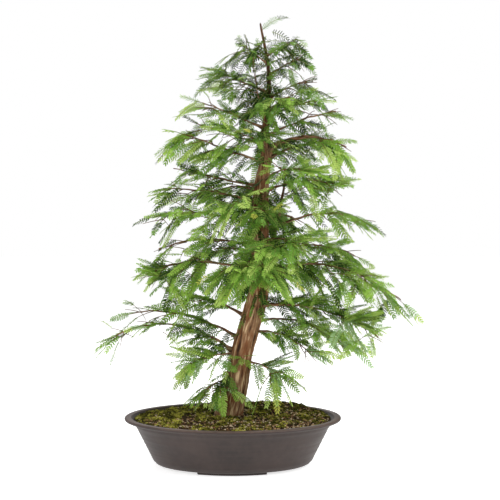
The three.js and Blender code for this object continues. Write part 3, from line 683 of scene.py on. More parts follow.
class Nodes:
    """Adds and joins the nodes of one material or node group."""

    def __init__(self, tree):
        self.tree = tree

    def add(self, kind, values=None, **settings):
        """A new node with its settings, and its sockets fed."""
        node = self.tree.nodes.new(kind)
        for name, value in settings.items():
            setattr(node, name, value)
        return self.fill(node, values or {})

    def fill(self, node, values):
        """Feeds several sockets of a node, by name or number."""
        for socket, value in values.items():
            self.feed(node.inputs[socket], value)
        return node

    def feed(self, socket, value):
        """Links a socket to another, or sets its value."""
        if isinstance(value, bpy.types.NodeSocket):
            self.tree.links.new(value, socket)
        elif socket.type == "RGBA" and len(value) == 3:
            socket.default_value = (*value, 1)
        else:
            socket.default_value = value

    def group(self, group, **values):
        return self.add("ShaderNodeGroup", values, node_tree=group)

    def attribute(self, name, output="Fac"):
        """What the mesh's vertices carry under a name."""
        return self.add("ShaderNodeAttribute", attribute_name=name).outputs[output]

    def bump(self, height, strength, distance, **values):
        inputs = {"Height": height, "Strength": strength, "Distance": distance, **values}
        return self.add("ShaderNodeBump", inputs).outputs["Normal"]

    def stretched(self, vector, scale):
        """Coordinates multiplied along each axis."""
        return self.add("ShaderNodeMapping", {"Vector": vector, "Scale": scale}).outputs["Vector"]

    def noise(self, vector, scale, detail=3.0, roughness=0.55):
        inputs = {"Vector": vector, "Scale": scale, "Detail": detail, "Roughness": roughness}
        return self.add("ShaderNodeTexNoise", inputs).outputs["Fac"]

    def remap(self, value, low, high, to_low=0.0, to_high=1.0):
        """Stretches a value's range to another one, and clips it there."""
        inputs = {"Value": value, "From Min": low, "From Max": high, "To Min": to_low, "To Max": to_high}
        return self.add("ShaderNodeMapRange", inputs, clamp=True).outputs["Result"]

    def mix(self, share, first, second):
        """Mixes two colours; the node's colour sockets come after those for other kinds."""
        return self.add("ShaderNodeMix", {0: share, 6: first, 7: second}, data_type="RGBA").outputs[2]

    def math(self, operation, first, second):
        return self.add("ShaderNodeMath", {0: first, 1: second}, operation=operation).outputs[0]

    def blend(self, first, second, share):
        """The sum of two values, the first times its share and the second times the rest."""
        first = self.math("MULTIPLY", first, share)
        return self.math("ADD", first, self.math("MULTIPLY", second, 1 - share))


def new_group(name, inputs, outputs):
    """A shader node group with named sockets: (nodes, its input node, its output node)."""
    group = bpy.data.node_groups.new(name, "ShaderNodeTree")
    for way, sockets in (("INPUT", inputs), ("OUTPUT", outputs)):
        for label, kind in sockets.items():
            group.interface.new_socket(name=label, in_out=way, socket_type=f"NodeSocket{kind}")
    nodes = Nodes(group)
    return nodes, nodes.add("NodeGroupInput"), nodes.add("NodeGroupOutput")


@cache
def mottle():
    """The group that lays two colours in soft patches, with a finer grain over them."""
    nodes, given, out = new_group(
        "Mottle",
        {"Vector": "Vector", "Scale": "Float", "Dark": "Color", "Light": "Color"},
        {"Color": "Color", "Mask": "Float"},
    )
    place, scale = given.outputs["Vector"], given.outputs["Scale"]
    broad = nodes.noise(place, scale, 4.0)
    fine = nodes.noise(place, nodes.math("MULTIPLY", scale, 7.0), 2.0)
    mask = nodes.remap(nodes.blend(broad, fine, 0.7), 0.36, 0.64)
    colour = nodes.mix(mask, given.outputs["Dark"], given.outputs["Light"])
    nodes.fill(out, {"Color": colour, "Mask": mask})
    return nodes.tree


@cache
def grain():
    """The group that makes a fine bump, such as that of clay or crumbs."""
    nodes, given, out = new_group(
        "Grain",
        {"Vector": "Vector", "Scale": "Float", "Strength": "Float", "Distance": "Float"},
        {"Normal": "Vector"},
    )
    height = nodes.noise(given.outputs["Vector"], given.outputs["Scale"], 5.0, 0.6)
    normal = nodes.bump(height, given.outputs["Strength"], given.outputs["Distance"])
    nodes.fill(out, {"Normal": normal})
    return nodes.tree


@cache
def fibres():
    """The group for the long fibres of bark: furrows, weathered patches and peeling strips."""
    nodes, given, out = new_group(
        "Fibres",
        {
            "Vector": "Vector",
            "Relief": "Float",
            "Furrow": "Color",
            "Body": "Color",
            "Patch": "Color",
            "Strip": "Color",
            "Width": "Float",
        },
        {"Color": "Color", "Height": "Float"},
    )
    place = given.outputs["Vector"]
    width = given.outputs["Width"]
    streaks = nodes.noise(nodes.stretched(place, (1.0, 1.0, 0.16)), width, 4.0, 0.62)
    fine = nodes.math("MULTIPLY", width, 3.2)
    threads = nodes.noise(nodes.stretched(place, (1.0, 1.0, 0.08)), fine, 3.0, 0.6)
    height = nodes.blend(nodes.blend(streaks, threads, 0.6), given.outputs["Relief"], 0.6)
    broad = nodes.math("MULTIPLY", width, 0.24)
    weathered = nodes.noise(nodes.stretched(place, (1.0, 1.0, 0.4)), broad, 2.0)
    body = nodes.mix(nodes.remap(weathered, 0.42, 0.6), given.outputs["Body"], given.outputs["Patch"])
    deep = nodes.mix(nodes.remap(height, 0.45, 0.55), given.outputs["Furrow"], body)
    colour = nodes.mix(nodes.remap(height, 0.6, 0.68), deep, given.outputs["Strip"])
    nodes.fill(out, {"Color": colour, "Height": height})
    return nodes.tree


def mottled(nodes, place, scale, dark, light):
    """The colour of a surface that is mottled in two tones."""
    return nodes.group(mottle(), Vector=place, Scale=scale, Dark=dark, Light=light).outputs["Color"]


def roughened(nodes, place, scale, strength, distance):
    """The normal of a surface with a fine grain."""
    skin = nodes.group(grain(), Vector=place, Scale=scale, Strength=strength, Distance=distance)
    return skin.outputs["Normal"]


def new_material(name, roughness, specular=0.3):
    """A material with one Principled shader: (material, nodes, shader, its Object coordinates)."""
    material = bpy.data.materials.new(name)
    material.use_nodes = True
    material.node_tree.nodes.clear()
    nodes = Nodes(material.node_tree)
    shader = nodes.add("ShaderNodeBsdfPrincipled", {"Roughness": roughness, "Specular IOR Level": specular})
    nodes.add("ShaderNodeOutputMaterial", {"Surface": shader.outputs["BSDF"]})
    coordinates = nodes.add("ShaderNodeTexCoord").outputs["Object"]
    return material, nodes, shader, coordinates


def clay_material(clay):
    """Satin brown clay: faint lines round the wall, and a painted highlight that makes the top of the lip
    paler.
    """
    material, nodes, shader, place = new_material("clay", 0.48, 0.36)
    dark = [c * 0.64 for c in clay]
    light = [c * 1.36 for c in clay]
    patches = nodes.group(mottle(), Vector=place, Scale=17.0, Dark=dark, Light=light)
    lines = nodes.noise(nodes.stretched(place, (3.0, 3.0, 160.0)), 2.2, 3.0)
    lined = nodes.mix(nodes.remap(lines, 0.42, 0.7, 0.0, 0.55), patches.outputs["Color"], light)
    height = nodes.add("ShaderNodeSeparateXYZ", {"Vector": place}).outputs["Z"]
    top = POT_HIGH.z
    # Painted highlight: the top 2 mm of the lip is mixed toward a colour 4.2 times the clay's, less where
    # the mottle is dark.
    highlight_band = nodes.remap(height, top - 0.0022, top - 0.0002, 0.0, 0.8)
    painted_highlight = nodes.math("MULTIPLY", highlight_band, nodes.remap(patches.outputs["Mask"], 0.0, 1.0, 0.45, 1.0))
    skin = roughened(nodes, place, 900.0, 0.14, 0.0004)
    finish = {
        "Base Color": nodes.mix(painted_highlight, lined, [c * 4.2 for c in clay]),
        "Roughness": nodes.remap(lines, 0.3, 0.7, 0.42, 0.56),
        "Normal": nodes.bump(lines, 0.2, 0.0005, Normal=skin),
    }
    nodes.fill(shader, finish)
    return material


def speckled_material(name, dark, light, scale, bump, roughness=0.9):
    """A dull surface in two mottled colours with a grain: moss, grit, twigs and shoots."""
    material, nodes, shader, place = new_material(name, roughness, 0.15)
    colour = mottled(nodes, place, scale, dark, light)
    skin = roughened(nodes, place, scale * 5, bump, 0.001)
    nodes.fill(shader, {"Base Color": colour, "Normal": skin})
    return material


def speckled_materials(tones, scale, bump):
    """A speckled material for each tone."""
    return [speckled_material(name, *tone, scale, bump) for name, tone in tones.items()]


def bark_material(name, colours, width):
    """Fibrous bark. It follows the limb through the grain and relief of each vertex."""
    material, nodes, shader, _ = new_material(name, 0.82, 0.2)
    bark = nodes.group(
        fibres(),
        Vector=nodes.attribute("grain", "Vector"),
        Relief=nodes.attribute("relief"),
        Width=width,
        **dict(zip(("Furrow", "Body", "Patch", "Strip"), colours)),
    )
    normal = nodes.bump(bark.outputs["Height"], 0.7, 0.0016)
    nodes.fill(shader, {"Base Color": bark.outputs["Color"], "Normal": normal})
    return material


def needle_material(name, dark, light):
    """Soft flat needles: a mottled green that lets some light through."""
    material, nodes, shader, place = new_material(name, 0.58, 0.2)
    green = mottled(nodes, place, 60.0, dark, light)
    nodes.fill(shader, {"Base Color": green})
    through = nodes.add("ShaderNodeBsdfTranslucent", {"Color": green})
    both = nodes.add("ShaderNodeMixShader", {0: 0.3, 1: shader.outputs["BSDF"], 2: through.outputs["BSDF"]})
    out = next(node for node in nodes.tree.nodes if node.type == "OUTPUT_MATERIAL")
    nodes.fill(out, {"Surface": both.outputs["Shader"]})
    return material


# ---- Pot -----------------------------------------------------------------------------------


def pot_settings():
    return bpy.context.scene.bonsai_pot


def lip_half():
    """Half of the long side over the lip."""
    return pot_settings().half_length / MM


def rim_top():
    """Height of the lip's top over the underside of the wall."""
    return pot_settings().rim_height / MM


def short_half(half):
    """Half of the short side of the ring whose long side has the given half."""
    return half - pot_settings().narrower / MM


def wall_half(height):
    """Half of the long side of the wall's outer face at a height."""
    return lerp(BASE_HALF, lip_half() - LIP_OVERHANG, height / (rim_top() - LIP_THICK))


def inner_half(height):
    """Half of the long side of the inner face at a height."""
    straight = wall_half(min(height, BEND_FROM)) - WALL
    bend = max(0, (height - BEND_FROM) / (rim_top() - BEND_FROM))
    return lerp(straight, lip_half() - LIP_WIDTH, bend)


def pot_profile():
    """(half length, height) of the pot from the rim of its underside to its inner floor."""
    top = rim_top()
    under = top - LIP_THICK
    lip = lip_half()
    inner = inner_half(top)
    floor = inner_half(FLOOR_THICK)
    heel = [(105, 0), (107.4, 0.1), (109, 0.9), (109.9, 2.2), (wall_half(4.5) + 0.2, 4.5)]
    wall = [(wall_half(z) + 0.2 * math.sin(z * 0.9), z) for z in np.linspace(8, under - 9, 15)]
    neck = [
        (wall_half(under - 7.5) + 0.5, under - 7.5),
        (wall_half(under - 6) + 0.9, under - 6),
        (wall_half(under - 4.6) + 0.5, under - 4.6),
        (wall_half(under - 3.2) + 0.4, under - 3.2),
        (wall_half(under - 1.6) + 1.6, under - 1.6),
        (wall_half(under - 0.4) + 4, under - 0.4),
    ]
    rim = [
        (lip - 5, under),
        (lip - 2.2, under + 0.2),
        (lip - 0.6, under + 1),
        (lip, under + 2.2),
        (lip - 0.3, top - 1),
        (lip - 1.2, top - 0.2),
        (lip - 3, top),
        (inner + 2, top),
        (inner + 0.7, top - 0.3),
        (inner - 0.2, top - 1.6),
    ]
    inside = [(inner_half(z), z) for z in (61, 57.5, BEND_FROM, 40, 24, FLOOR_THICK + 3)]
    return heel + wall + neck + rim + inside + [(floor - 2, FLOOR_THICK + 0.4), (floor - 7, FLOOR_THICK)]


def model_shell():
    """The oval shell: a disc, extruded and scaled ring by ring up the wall, over the lip and in."""
    profile = pot_profile()
    start_modelling()
    half, height = profile[0]
    bpy.ops.mesh.primitive_circle_add(
        vertices=POT_SIDES, radius=half * MM, fill_type="NGON", location=place_of(0, 0, height)
    )
    shell = bpy.context.object
    edit_all()
    oval = (1, short_half(half) / half, 1)
    bpy.ops.transform.resize(value=oval, center_override=place_of(0, 0, height))
    for (half_was, height_was), (half, height) in zip(profile, profile[1:]):
        climb = (0, 0, (height - height_was) * MM)
        bpy.ops.mesh.extrude_region_move(TRANSFORM_OT_translate={"value": climb})
        draw_ring(half_was, half, height)
    close_modelling()
    apply_place()
    return shell


def draw_ring(half_was, half, height):
    """Scales the selected oval ring at a height to a new half length."""
    shares = (half / half_was, short_half(half) / short_half(half_was), 1)
    bpy.ops.transform.resize(value=shares, center_override=place_of(0, 0, height))


def model_foot(side):
    """A low foot that follows the oval, in front (-1) or at the back (1)."""
    outer = BASE_HALF - FOOT_INSET
    start_modelling()
    bpy.ops.mesh.primitive_grid_add(
        x_subdivisions=24, y_subdivisions=2, size=2, location=place_of(0, 0, -FOOT_HEIGHT)
    )
    foot = bpy.context.object
    edit_all()
    bpy.ops.mesh.extrude_region_move(TRANSFORM_OT_translate={"value": (0, 0, FOOT_TALL * MM)})
    bpy.ops.object.mode_set(mode="OBJECT")
    for vertex in foot.data.vertices:
        x = vertex.co.x * FOOT_REACH
        half = outer - FOOT_DEPTH * (1 - vertex.co.y) / 2
        vertex.co.x = x * MM
        vertex.co.y = side * short_half(half) * math.sqrt(1 - (x / half) ** 2) * MM
    apply_place()
    apply_modifier(foot, "BEVEL", width=FOOT_BEVEL * MM, segments=2, limit_method="ANGLE")
    edit_all()
    close_modelling()
    return foot


def drill(shell, side):
    """A drain hole through the floor."""
    start_modelling()
    bpy.ops.mesh.primitive_cylinder_add(
        vertices=32,
        radius=DRAIN_RADIUS * MM,
        depth=4 * FLOOR_THICK * MM,
        location=place_of(side * DRAIN_OUT, 0, FLOOR_THICK / 2),
    )
    drill_bit = bpy.context.object
    apply_modifier(shell, "BOOLEAN", object=drill_bit, operation="DIFFERENCE", solver="EXACT")
    bpy.data.objects.remove(drill_bit)


class BONSAI_OT_pot(bpy.types.Operator):
    """The oval pot with its lip, its two feet and its drain holes"""

    bl_idname = "bonsai.pot"
    bl_label = "Build Pot"

    def execute(self, context):
        shell = model_shell()
        feet = [model_foot(side) for side in (-1, 1)]
        for side in (-1, 1):
            drill(shell, side)
        start_modelling()
        for piece in [shell, *feet]:
            piece.select_set(True)
        context.view_layer.objects.active = shell
        bpy.ops.object.join()
        bpy.ops.object.shade_smooth_by_angle(angle=math.radians(40))
        settle(shell, "oval_pot", "pot", [clay_material(pot_settings().clay)], "pot")
        return {"FINISHED"}


# ---- Soil, moss and grit ---------------------------------------------------------------


def soil_height(x, y):
    """Height of the soil's surface before moss and crumbs, for arrays of places."""
    edge = inner_half(SOIL_EDGE)
    out = np.hypot(x, y * edge / short_half(edge))
    away = smoothstep(out, SOIL_FLAT, SOIL_FLAT + SOIL_RISE)
    fall = smoothstep(out, SOIL_FALL, edge)
    aside = (x - MOUND_AT[0]) / MOUND_SPREAD[0]
    back = (y - MOUND_AT[1]) / MOUND_SPREAD[1]
    mound = MOUND_HEIGHT * np.exp(-(aside**2 + back**2) / 2)
    swell = SOIL_SWELL * np.sin(x / 13 + 1) * np.cos(y / 11)
    return SOIL_AT_TRUNK + away * (mound + swell) - fall * (SOIL_AT_TRUNK - SOIL_EDGE)


def moss_cover(x, y):
    """How mossy each place is, from 0 on bare soil to 1 on a full cushion."""
    places = on_plan(x, y)
    patches = noise_of(places / 24 + 7) + 0.5 * noise_of(places / 9 + 3)
    lean = 0.12 - 0.0009 * x + 0.0012 * y
    return smoothstep(patches + lean, -0.3, 0.25)


def ground(x, y):
    """Height of the ground with its cushions of moss and its crumbs, and how mossy it is."""
    places = on_plan(x, y)
    crumb = bpy.context.scene.bonsai_soil.crumb_height / MM
    moss = moss_cover(x, y)
    lumps = noise_of(places / 6.5 + 11)
    crumbs = noise_of(places / 2.6 + 5)
    rise = moss * (1.6 + 2.2 * lumps) + (1 - 0.55 * moss) * crumb * 0.7 * crumbs
    full = smoothstep(np.hypot(x - SMOOTH_AT, y), *SMOOTH_OUT)
    return soil_height(x, y) + rise * full, moss


def model_bed():
    """The soil as one closed body: a grid rounded to the oval, then drawn down to the floor."""
    edge = inner_half(SOIL_EDGE) - SOIL_ROOM
    start_modelling()
    bpy.ops.mesh.primitive_grid_add(x_subdivisions=170, y_subdivisions=140, size=2, location=(0, 0, 0))
    bed = bpy.context.object
    u, v, _ = raw_points(bed.data).T
    x = edge * u * np.sqrt(1 - v * v / 2)
    y = short_half(edge) * v * np.sqrt(1 - u * u / 2)
    z, moss = ground(x, y)
    set_mesh_points(bed.data, np.stack([x, y, z], axis=-1))
    bpy.ops.object.mode_set(mode="EDIT")
    bpy.ops.mesh.select_mode(type="EDGE")
    bpy.ops.mesh.select_all(action="DESELECT")
    bpy.ops.mesh.select_non_manifold()
    half_was = edge
    for height in (BEND_FROM, FLOOR_THICK + 0.5):
        half = inner_half(height) - 2 * SOIL_ROOM
        bpy.ops.mesh.extrude_edges_move(TRANSFORM_OT_translate={"value": (0, 0, -MM)})
        bpy.ops.transform.resize(value=(1, 1, 0), center_override=place_of(0, 0, height))
        draw_ring(half_was, half, height)
        half_was = half
    bpy.ops.mesh.edge_face_add()
    bpy.ops.mesh.select_mode(type="VERT")
    close_modelling()
    bpy.ops.object.shade_smooth_by_angle(angle=math.radians(60))
    full = np.zeros(len(bed.data.vertices))
    full[: len(moss)] = moss
    set_attribute(bed.data, "moss", full)
    return bed


def soil_material():
    """Dark crumbly soil that turns to olive moss where the ground is mossy."""
    material, nodes, shader, place = new_material("soil", 0.95, 0.1)
    soil = mottled(nodes, place, 170.0, *SOIL_TONES)
    moss = mottled(nodes, place, 120.0, *UNDER_MOSS)
    mossy = nodes.remap(nodes.attribute("moss"), 0.25, 0.7)
    skin = roughened(nodes, place, 700.0, 0.8, 0.0012)
    nodes.fill(shader, {"Base Color": nodes.mix(mossy, soil, moss), "Normal": skin})
    return material


def scattered(count, draw):
    """Places over the soil, clear of the trunk and the wall."""
    edge = inner_half(SOIL_EDGE) - WALL_CLEAR
    turn = np.array([draw.random() for _ in range(count)]) * 2 * math.pi
    out = np.sqrt([draw.random() for _ in range(count)])
    x = out * np.cos(turn) * edge
    y = out * np.sin(turn) * short_half(edge)
    clear = np.hypot(x - TRUNK[0][1], y) > TRUNK[0][3]
    return x[clear], y[clear]


def model_tuft():
    """One tuft of moss: five leaves that stand up and lean out."""
    points = []
    faces = []
    for k in range(5):
        turn = k * 2 * math.pi / 5 + 0.3 * (k % 2)
        out = np.array([math.cos(turn), math.sin(turn), 0])
        side = np.array([-math.sin(turn), math.cos(turn), 0])
        lean = 0.75 if k % 2 else 1.15
        tip = out * lean + np.array([0, 0, 1.35 - 0.4 * lean])
        points += [0.1 * out - 0.34 * side, 0.1 * out + 0.34 * side, tip]
        faces.append((3 * k, 3 * k + 1, 3 * k + 2))
    return np.array(points), np.array(faces)


def model_grain():
    """One grain of grit: a small ball beaten out of round."""
    start_modelling()
    bpy.ops.mesh.primitive_ico_sphere_add(subdivisions=1, radius=1, location=(0, 0, 0))
    ball = bpy.context.object
    points = np.array([vertex.co for vertex in ball.data.vertices])
    faces = np.array([face.vertices for face in ball.data.polygons])
    bpy.data.objects.remove(ball)
    draw = random.Random(5)
    return points * np.array([[draw.uniform(0.75, 1.2)] for _ in points]), faces


def copies(template, places, sizes, turns):
    """Joined copies of a template (points, faces), each turned upright, scaled and placed."""
    points, faces = template
    cos, sin = np.cos(turns)[:, None], np.sin(turns)[:, None]
    x, y, z = (points[None] * sizes[:, None, :]).transpose(2, 0, 1)
    placed = np.stack([x * cos - y * sin, x * sin + y * cos, z], axis=-1) + places[:, None]
    return placed.reshape(-1, 3), repeated(faces, len(places), len(points))


def model_moss():
    """Tufts over the mossy ground, in an olive, a bright and a deep green."""
    draw = random.Random(21)
    x, y = scattered(bpy.context.scene.bonsai_soil.moss_tufts, draw)
    z, moss = ground(x, y)
    chosen = moss > uniforms(draw, 0.25, 0.75, len(x))
    x, y, z, moss = (values[chosen] for values in (x, y, z, moss))
    size = uniforms(draw, 0.9, 1.9, len(x)) * (0.7 + 0.5 * moss)
    sizes = np.stack([size, size, size * uniforms(draw, 0.7, 1.3, len(x))], axis=-1)
    turns = uniforms(draw, 0, 6.28, len(x))
    template = model_tuft()
    points, faces = copies(template, np.stack([x, y, z - 0.4], axis=-1), sizes, turns)
    brightness = noise_of(on_plan(x, y) / 17 + 31) + uniforms(draw, -0.5, 0.5, len(x))
    brightness -= 0.0008 * x + 0.0016 * y
    tint = np.digitize(brightness, (-0.1, 0.24))
    return mesh_from_arrays("moss", points, faces, np.repeat(tint, len(template[1])))


def model_grit():
    """Grit and crumbs among the moss, more of it to the right and in front."""
    draw = random.Random(8)
    x, y = scattered(bpy.context.scene.bonsai_soil.grit_grains * 2, draw)
    z, moss = ground(x, y)
    chance = 0.54 - 0.28 * moss + 0.0013 * x - 0.0016 * y
    chosen = chance > np.array([draw.random() for _ in x])
    x, y, z = (values[chosen] for values in (x, y, z))
    size = np.array([draw.uniform(0.75, 1.05) * draw.choice((1.0, 1.3, 1.8)) for _ in x])
    shape = np.array([(draw.uniform(0.8, 1.2), draw.uniform(0.7, 1.1), draw.uniform(0.5, 0.8)) for _ in x])
    turns = uniforms(draw, 0, 6.28, len(x))
    template = model_grain()
    places = np.stack([x, y, z + 0.25 * size], axis=-1)
    points, faces = copies(template, places, size[:, None] * shape, turns)
    tint = np.array(draw.choices(range(len(GRIT_TONES)), weights=GRIT_WEIGHTS, k=len(x)))
    return mesh_from_arrays("grit", points, faces, np.repeat(tint, len(template[1])))


class BONSAI_OT_soil(bpy.types.Operator):
    """The soil with its cushions of moss and its grit"""

    bl_idname = "bonsai.soil"
    bl_label = "Build Soil"

    def execute(self, context):
        settle(model_bed(), "soil_bed", "soil", [soil_material()], "soil")
        settle(model_moss(), "moss", "soil", speckled_materials(MOSS_TONES, 140.0, 0.2))
        settle(model_grit(), "grit", "soil", speckled_materials(GRIT_TONES, 260.0, 0.4))
        return {"FINISHED"}


# ---- Trunk -----------------------------------------------------------------------------------


def trunk_values(heights):
    """The trunk's x, y and radius at heights, straight between its stations."""
    stations, *columns = zip(*TRUNK)
    return [np.interp(heights, stations, column) for column in columns]


def trunk_at(height):
    """Middle and radius of the trunk at a height."""
    x, y, radius = trunk_values(height)
    return Vector((x, y, height)), float(radius)


def trunk_line(heights):
    """Middles (rows of x and y) and radii of the trunk, smoothed across its stations."""
    near = [trunk_values(heights + offset) for offset in np.linspace(-9, 9, 7)]
    x, y, radius = np.mean(near, axis=0)
    return np.stack([x, y], axis=-1), radius * (1 - 0.32 * smoothstep(heights, 400, 520))


def model_trunk():
    """A disc extruded ring by ring up the trunk's course, then subdivided."""
    heights = np.concatenate([[TRUNK[0][0] - TRUNK_BURIED], np.linspace(TRUNK[0][0], TRUNK[-1][0], 64)])
    middles, radii = trunk_line(heights)
    start_modelling()
    bpy.ops.mesh.primitive_circle_add(
        vertices=TRUNK_SIDES,
        radius=radii[0] * MM,
        fill_type="NGON",
        location=place_of(*middles[0], heights[0]),
    )
    trunk = bpy.context.object
    edit_all()
    for i in range(1, len(heights)):
        was = place_of(*middles[i - 1], heights[i - 1])
        now = place_of(*middles[i], heights[i])
        bpy.ops.mesh.extrude_region_move(TRANSFORM_OT_translate={"value": now - was})
        share = radii[i] / radii[i - 1]
        bpy.ops.transform.resize(value=(share, share, 1), center_override=now)
    close_modelling()
    apply_place()
    apply_modifier(trunk, "SUBSURF", levels=2, render_levels=2)
    return trunk


def carve_bark(trunk):
    """Root flare, fluting and long furrows, by moving each vertex in or out."""
    points = raw_points(trunk.data) / MM - np.array(MIDDLE)
    heights = points[:, 2]
    middles, radii = trunk_line(heights)
    off = points[:, :2] - middles
    out = np.hypot(off[:, 0], off[:, 1])
    theta = np.arctan2(off[:, 1], off[:, 0])
    flare = np.clip((FLARE_TOP - heights) / (FLARE_TOP - TRUNK[0][0]), 0, 1.15)
    lobes = 1 + FLARE_DEPTH * flare * (np.cos(FLARE_LOBES * theta) + 0.4)
    twist = theta + heights * 0.0035
    skin = np.stack([BARK_RING * np.cos(twist), BARK_RING * np.sin(twist), heights], axis=-1)
    flutes = noise_of(skin * (1 / 11, 1 / 11, 1 / 60))
    strips = 1 - 2 * np.abs(noise_of(skin * (1 / 4.6, 1 / 4.6, 1 / 34) + 9))
    cracks = noise_of(skin * (1 / 2.2, 1 / 2.2, 1 / 13) + 4)
    depth = bpy.context.scene.bonsai_bark.relief / MM * np.clip(radii / BARK_RING, 0, 1) ** 0.8
    relief = 0.62 * strips + 0.38 * cracks
    wide = radii * lobes * (1 + 0.09 * flutes) + depth * (relief - 0.3)
    rim = (out / np.maximum(radii, 0.1)).clip(0, 1)
    scale = np.where(out > 0.01, wide / np.maximum(out, 0.01) * rim, 1)
    points[:, :2] = middles + off * scale[:, None]
    set_mesh_points(trunk.data, points)
    shade = 0.3 * smoothstep(heights, 380, 520)
    set_attribute(trunk.data, "relief", np.clip(0.5 + 0.5 * relief - shade, 0, 1))
    set_attribute(trunk.data, "grain", skin * MM)


class BONSAI_OT_trunk(bpy.types.Operator):
    """The trunk with its root flare and the relief of its bark"""

    bl_idname = "bonsai.trunk"
    bl_label = "Build Trunk"

    def execute(self, context):
        bark = context.scene.bonsai_bark
        trunk = model_trunk()
        carve_bark(trunk)
        trunk.data.shade_smooth()
        colours = (bark.furrow, bark.body, bark.patch, bark.strip)
        settle(trunk, "bark_trunk", "bark", [bark_material("bark", colours, 300.0)], "trunk")
        return {"FINISHED"}


# ---- The growth rule -----------------------------------------------------------------------


def seeded(seed):
    """Small repeatable random numbers from 0 to 1, the same as the solid model's."""
    state = 7919 * (seed + 1)

    def draw():
        nonlocal state
        state = state * 16807 % 2147483647
        return state / 2147483647

    draw()
    draw()
    return draw


class Course:
    """A limb's bow from root to tip with a little seeded wander to either side."""

    def __init__(self, limb, root, seed):
        azimuth = math.radians(limb.azimuth)
        out = Vector((math.cos(azimuth), math.sin(azimuth), 0))
        self.side = Vector((-out.y, out.x, 0))
        self.root = root
        self.knee = root + out * limb.reach * (0.8 if limb.name in UPRIGHT else 0.5)
        self.knee.z += limb.rise / 2 + 2 * limb.arch
        self.tip = root + out * limb.reach
        self.tip.z += limb.rise
        self.crook = CROOK * limb.reach
        self.phase = 2 * math.pi * seeded(seed)()

    def at(self, t):
        """A place on the course, from 0 at its root to 1 at its tip."""
        wander = self.crook * math.sin(math.pi * t) * math.sin(9 * t + self.phase)
        bow = self.root * (1 - t) ** 2 + self.knee * 2 * t * (1 - t) + self.tip * t * t
        return bow + self.side * wander

    def heading(self, t):
        low, high = max(t - 0.0001, 0), min(t + 0.0001, 1)
        return (self.at(high) - self.at(low)).normalized()

    def length(self):
        steps = [self.at(i / 200) for i in range(201)]
        return sum((b - a).length for a, b in zip(steps, steps[1:]))


def limb_courses():
    """The course of each limb, by name."""
    courses = {}
    for seed, limb in enumerate(LIMBS):
        root = trunk_at(limb.height)[0]
        if limb.name in ON_LEADER:
            steps = [courses["leader"].at(i / 60) for i in range(61)]
            root = min(steps, key=lambda step: abs(step.z - limb.height))
        courses[limb.name] = Course(limb, root, seed)
    return courses


def across_of(heading):
    """A level direction square to the heading."""
    level = heading.cross(UP)
    if level.length_squared <= 0.02:
        level = Vector((1, 0, 0)) - heading * heading.x
    return level.normalized()


def turned(vector, axis, angle):
    """The vector turned about an axis."""
    return Matrix.Rotation(angle, 3, axis) @ vector


def branch_heading(ahead, turn, draw):
    """A heading that leaves a stem at the twig angle. turn goes round the stem from its top."""
    over = across_of(ahead).cross(ahead)
    outward = turned(over, ahead, turn + 0.7 * (draw() - 0.5))
    heading = ahead * math.cos(TWIG_ANGLE) + outward * math.sin(TWIG_ANGLE)
    return (heading - UP * (0.1 + 0.16 * draw())).normalized()


# A blade of the solid model: its limb, root and directions, its length, how far its tip hangs.
Blade = namedtuple("Blade", "limb centre ahead across over length hang")
# A spray of needles: its limb, where it starts, its directions, its length, how far its tip
# sags over its length, how far out it is from 0 to 1, and its tints where they are set.
Spray = namedtuple("Spray", "limb root ahead across length hang outer tints", defaults=[None])


def cluster(limb, centre, ahead, angles, draw, middle=None):
    """The blades that spread from one centre. middle is the length of a set middle blade."""
    across = turned(-across_of(ahead), ahead, BLADE_ROLL * (2 * draw() - 1))
    over = ahead.cross(across)
    blades = []
    for i, angle in enumerate(angles):
        angle += 0.12 * (draw() - 0.5)
        length = BLADE_LENGTH * (0.84 + 0.3 * draw())
        hang = lerp(*BLADE_HANG, draw())
        if middle and i == (len(angles) - 1) // 2:
            angle, length, hang = 0, middle, 0
        heading = ahead * math.cos(angle) + across * math.sin(angle)
        aside = across * math.cos(angle) - ahead * math.sin(angle)
        blades.append(Blade(limb, centre, heading, aside, over, length, hang))
    return blades


def stem_end(course):
    """Where along its course a limb ends in its last blades."""
    return 1 - min(0.45, 0.8 * BLADE_LENGTH / course.length())


def growth(index, course):
    """Twigs (root, tip) and blades of one limb, by the solid model's rule."""
    limb = LIMBS[index]
    draw = seeded(index + 100)
    end = stem_end(course)
    spread = [-BLADE_SPREAD, 0, BLADE_SPREAD]
    count = 0
    if limb.twig > 0:
        count = max(2, math.floor((end - limb.bare) * course.length() / TWIG_SPACING + 0.5))
    twigs = []
    blades = []
    for k in range(count):
        along = (k + 0.5) / count
        t = lerp(limb.bare, end, along)
        turn = k * GOLDEN_TURN if limb.name in UPRIGHT else (1 if k % 2 else -1) * math.pi / 2
        heading = branch_heading(course.heading(t), turn, draw)
        length = limb.twig * (1 - TWIG_SHRINK * along) * (0.9 + 0.25 * draw())
        root = course.at(t)
        tip = root + heading * length
        twigs.append((root, tip))
        blades += cluster(index, tip + heading * TWIG_SHORT, heading, spread, draw)
    centre = course.at(end)
    ahead = course.at(1) - centre
    angles = spread if limb.twig > 0 else [0]
    blades += cluster(index, centre, ahead.normalized(), angles, draw, middle=ahead.length)
    return twigs, blades


def layer_distance(places, stem):
    """Distance of rows of places to a stem, heights counted more so that a mass is a layer."""
    weigh = np.array((1, 1, LAYER_WEIGHT))
    places = places * weigh
    stem = stem * weigh
    nearest = np.full(len(places), np.inf)
    for a, b in zip(stem, stem[1:]):
        span = b - a
        share = np.clip((places - a) @ span / (span @ span), 0, 1)
        nearest = np.minimum(nearest, np.linalg.norm(places - a - share[:, None] * span, axis=1))
    return nearest


def in_own_space(places, owners, stems, slack):
    """Whether each place is nearer to its own stem than to any other, give or take slack."""
    distances = np.stack([layer_distance(places, stem) for stem in stems])
    own = distances[owners, np.arange(len(places))]
    return distances.min(axis=0) > own - slack


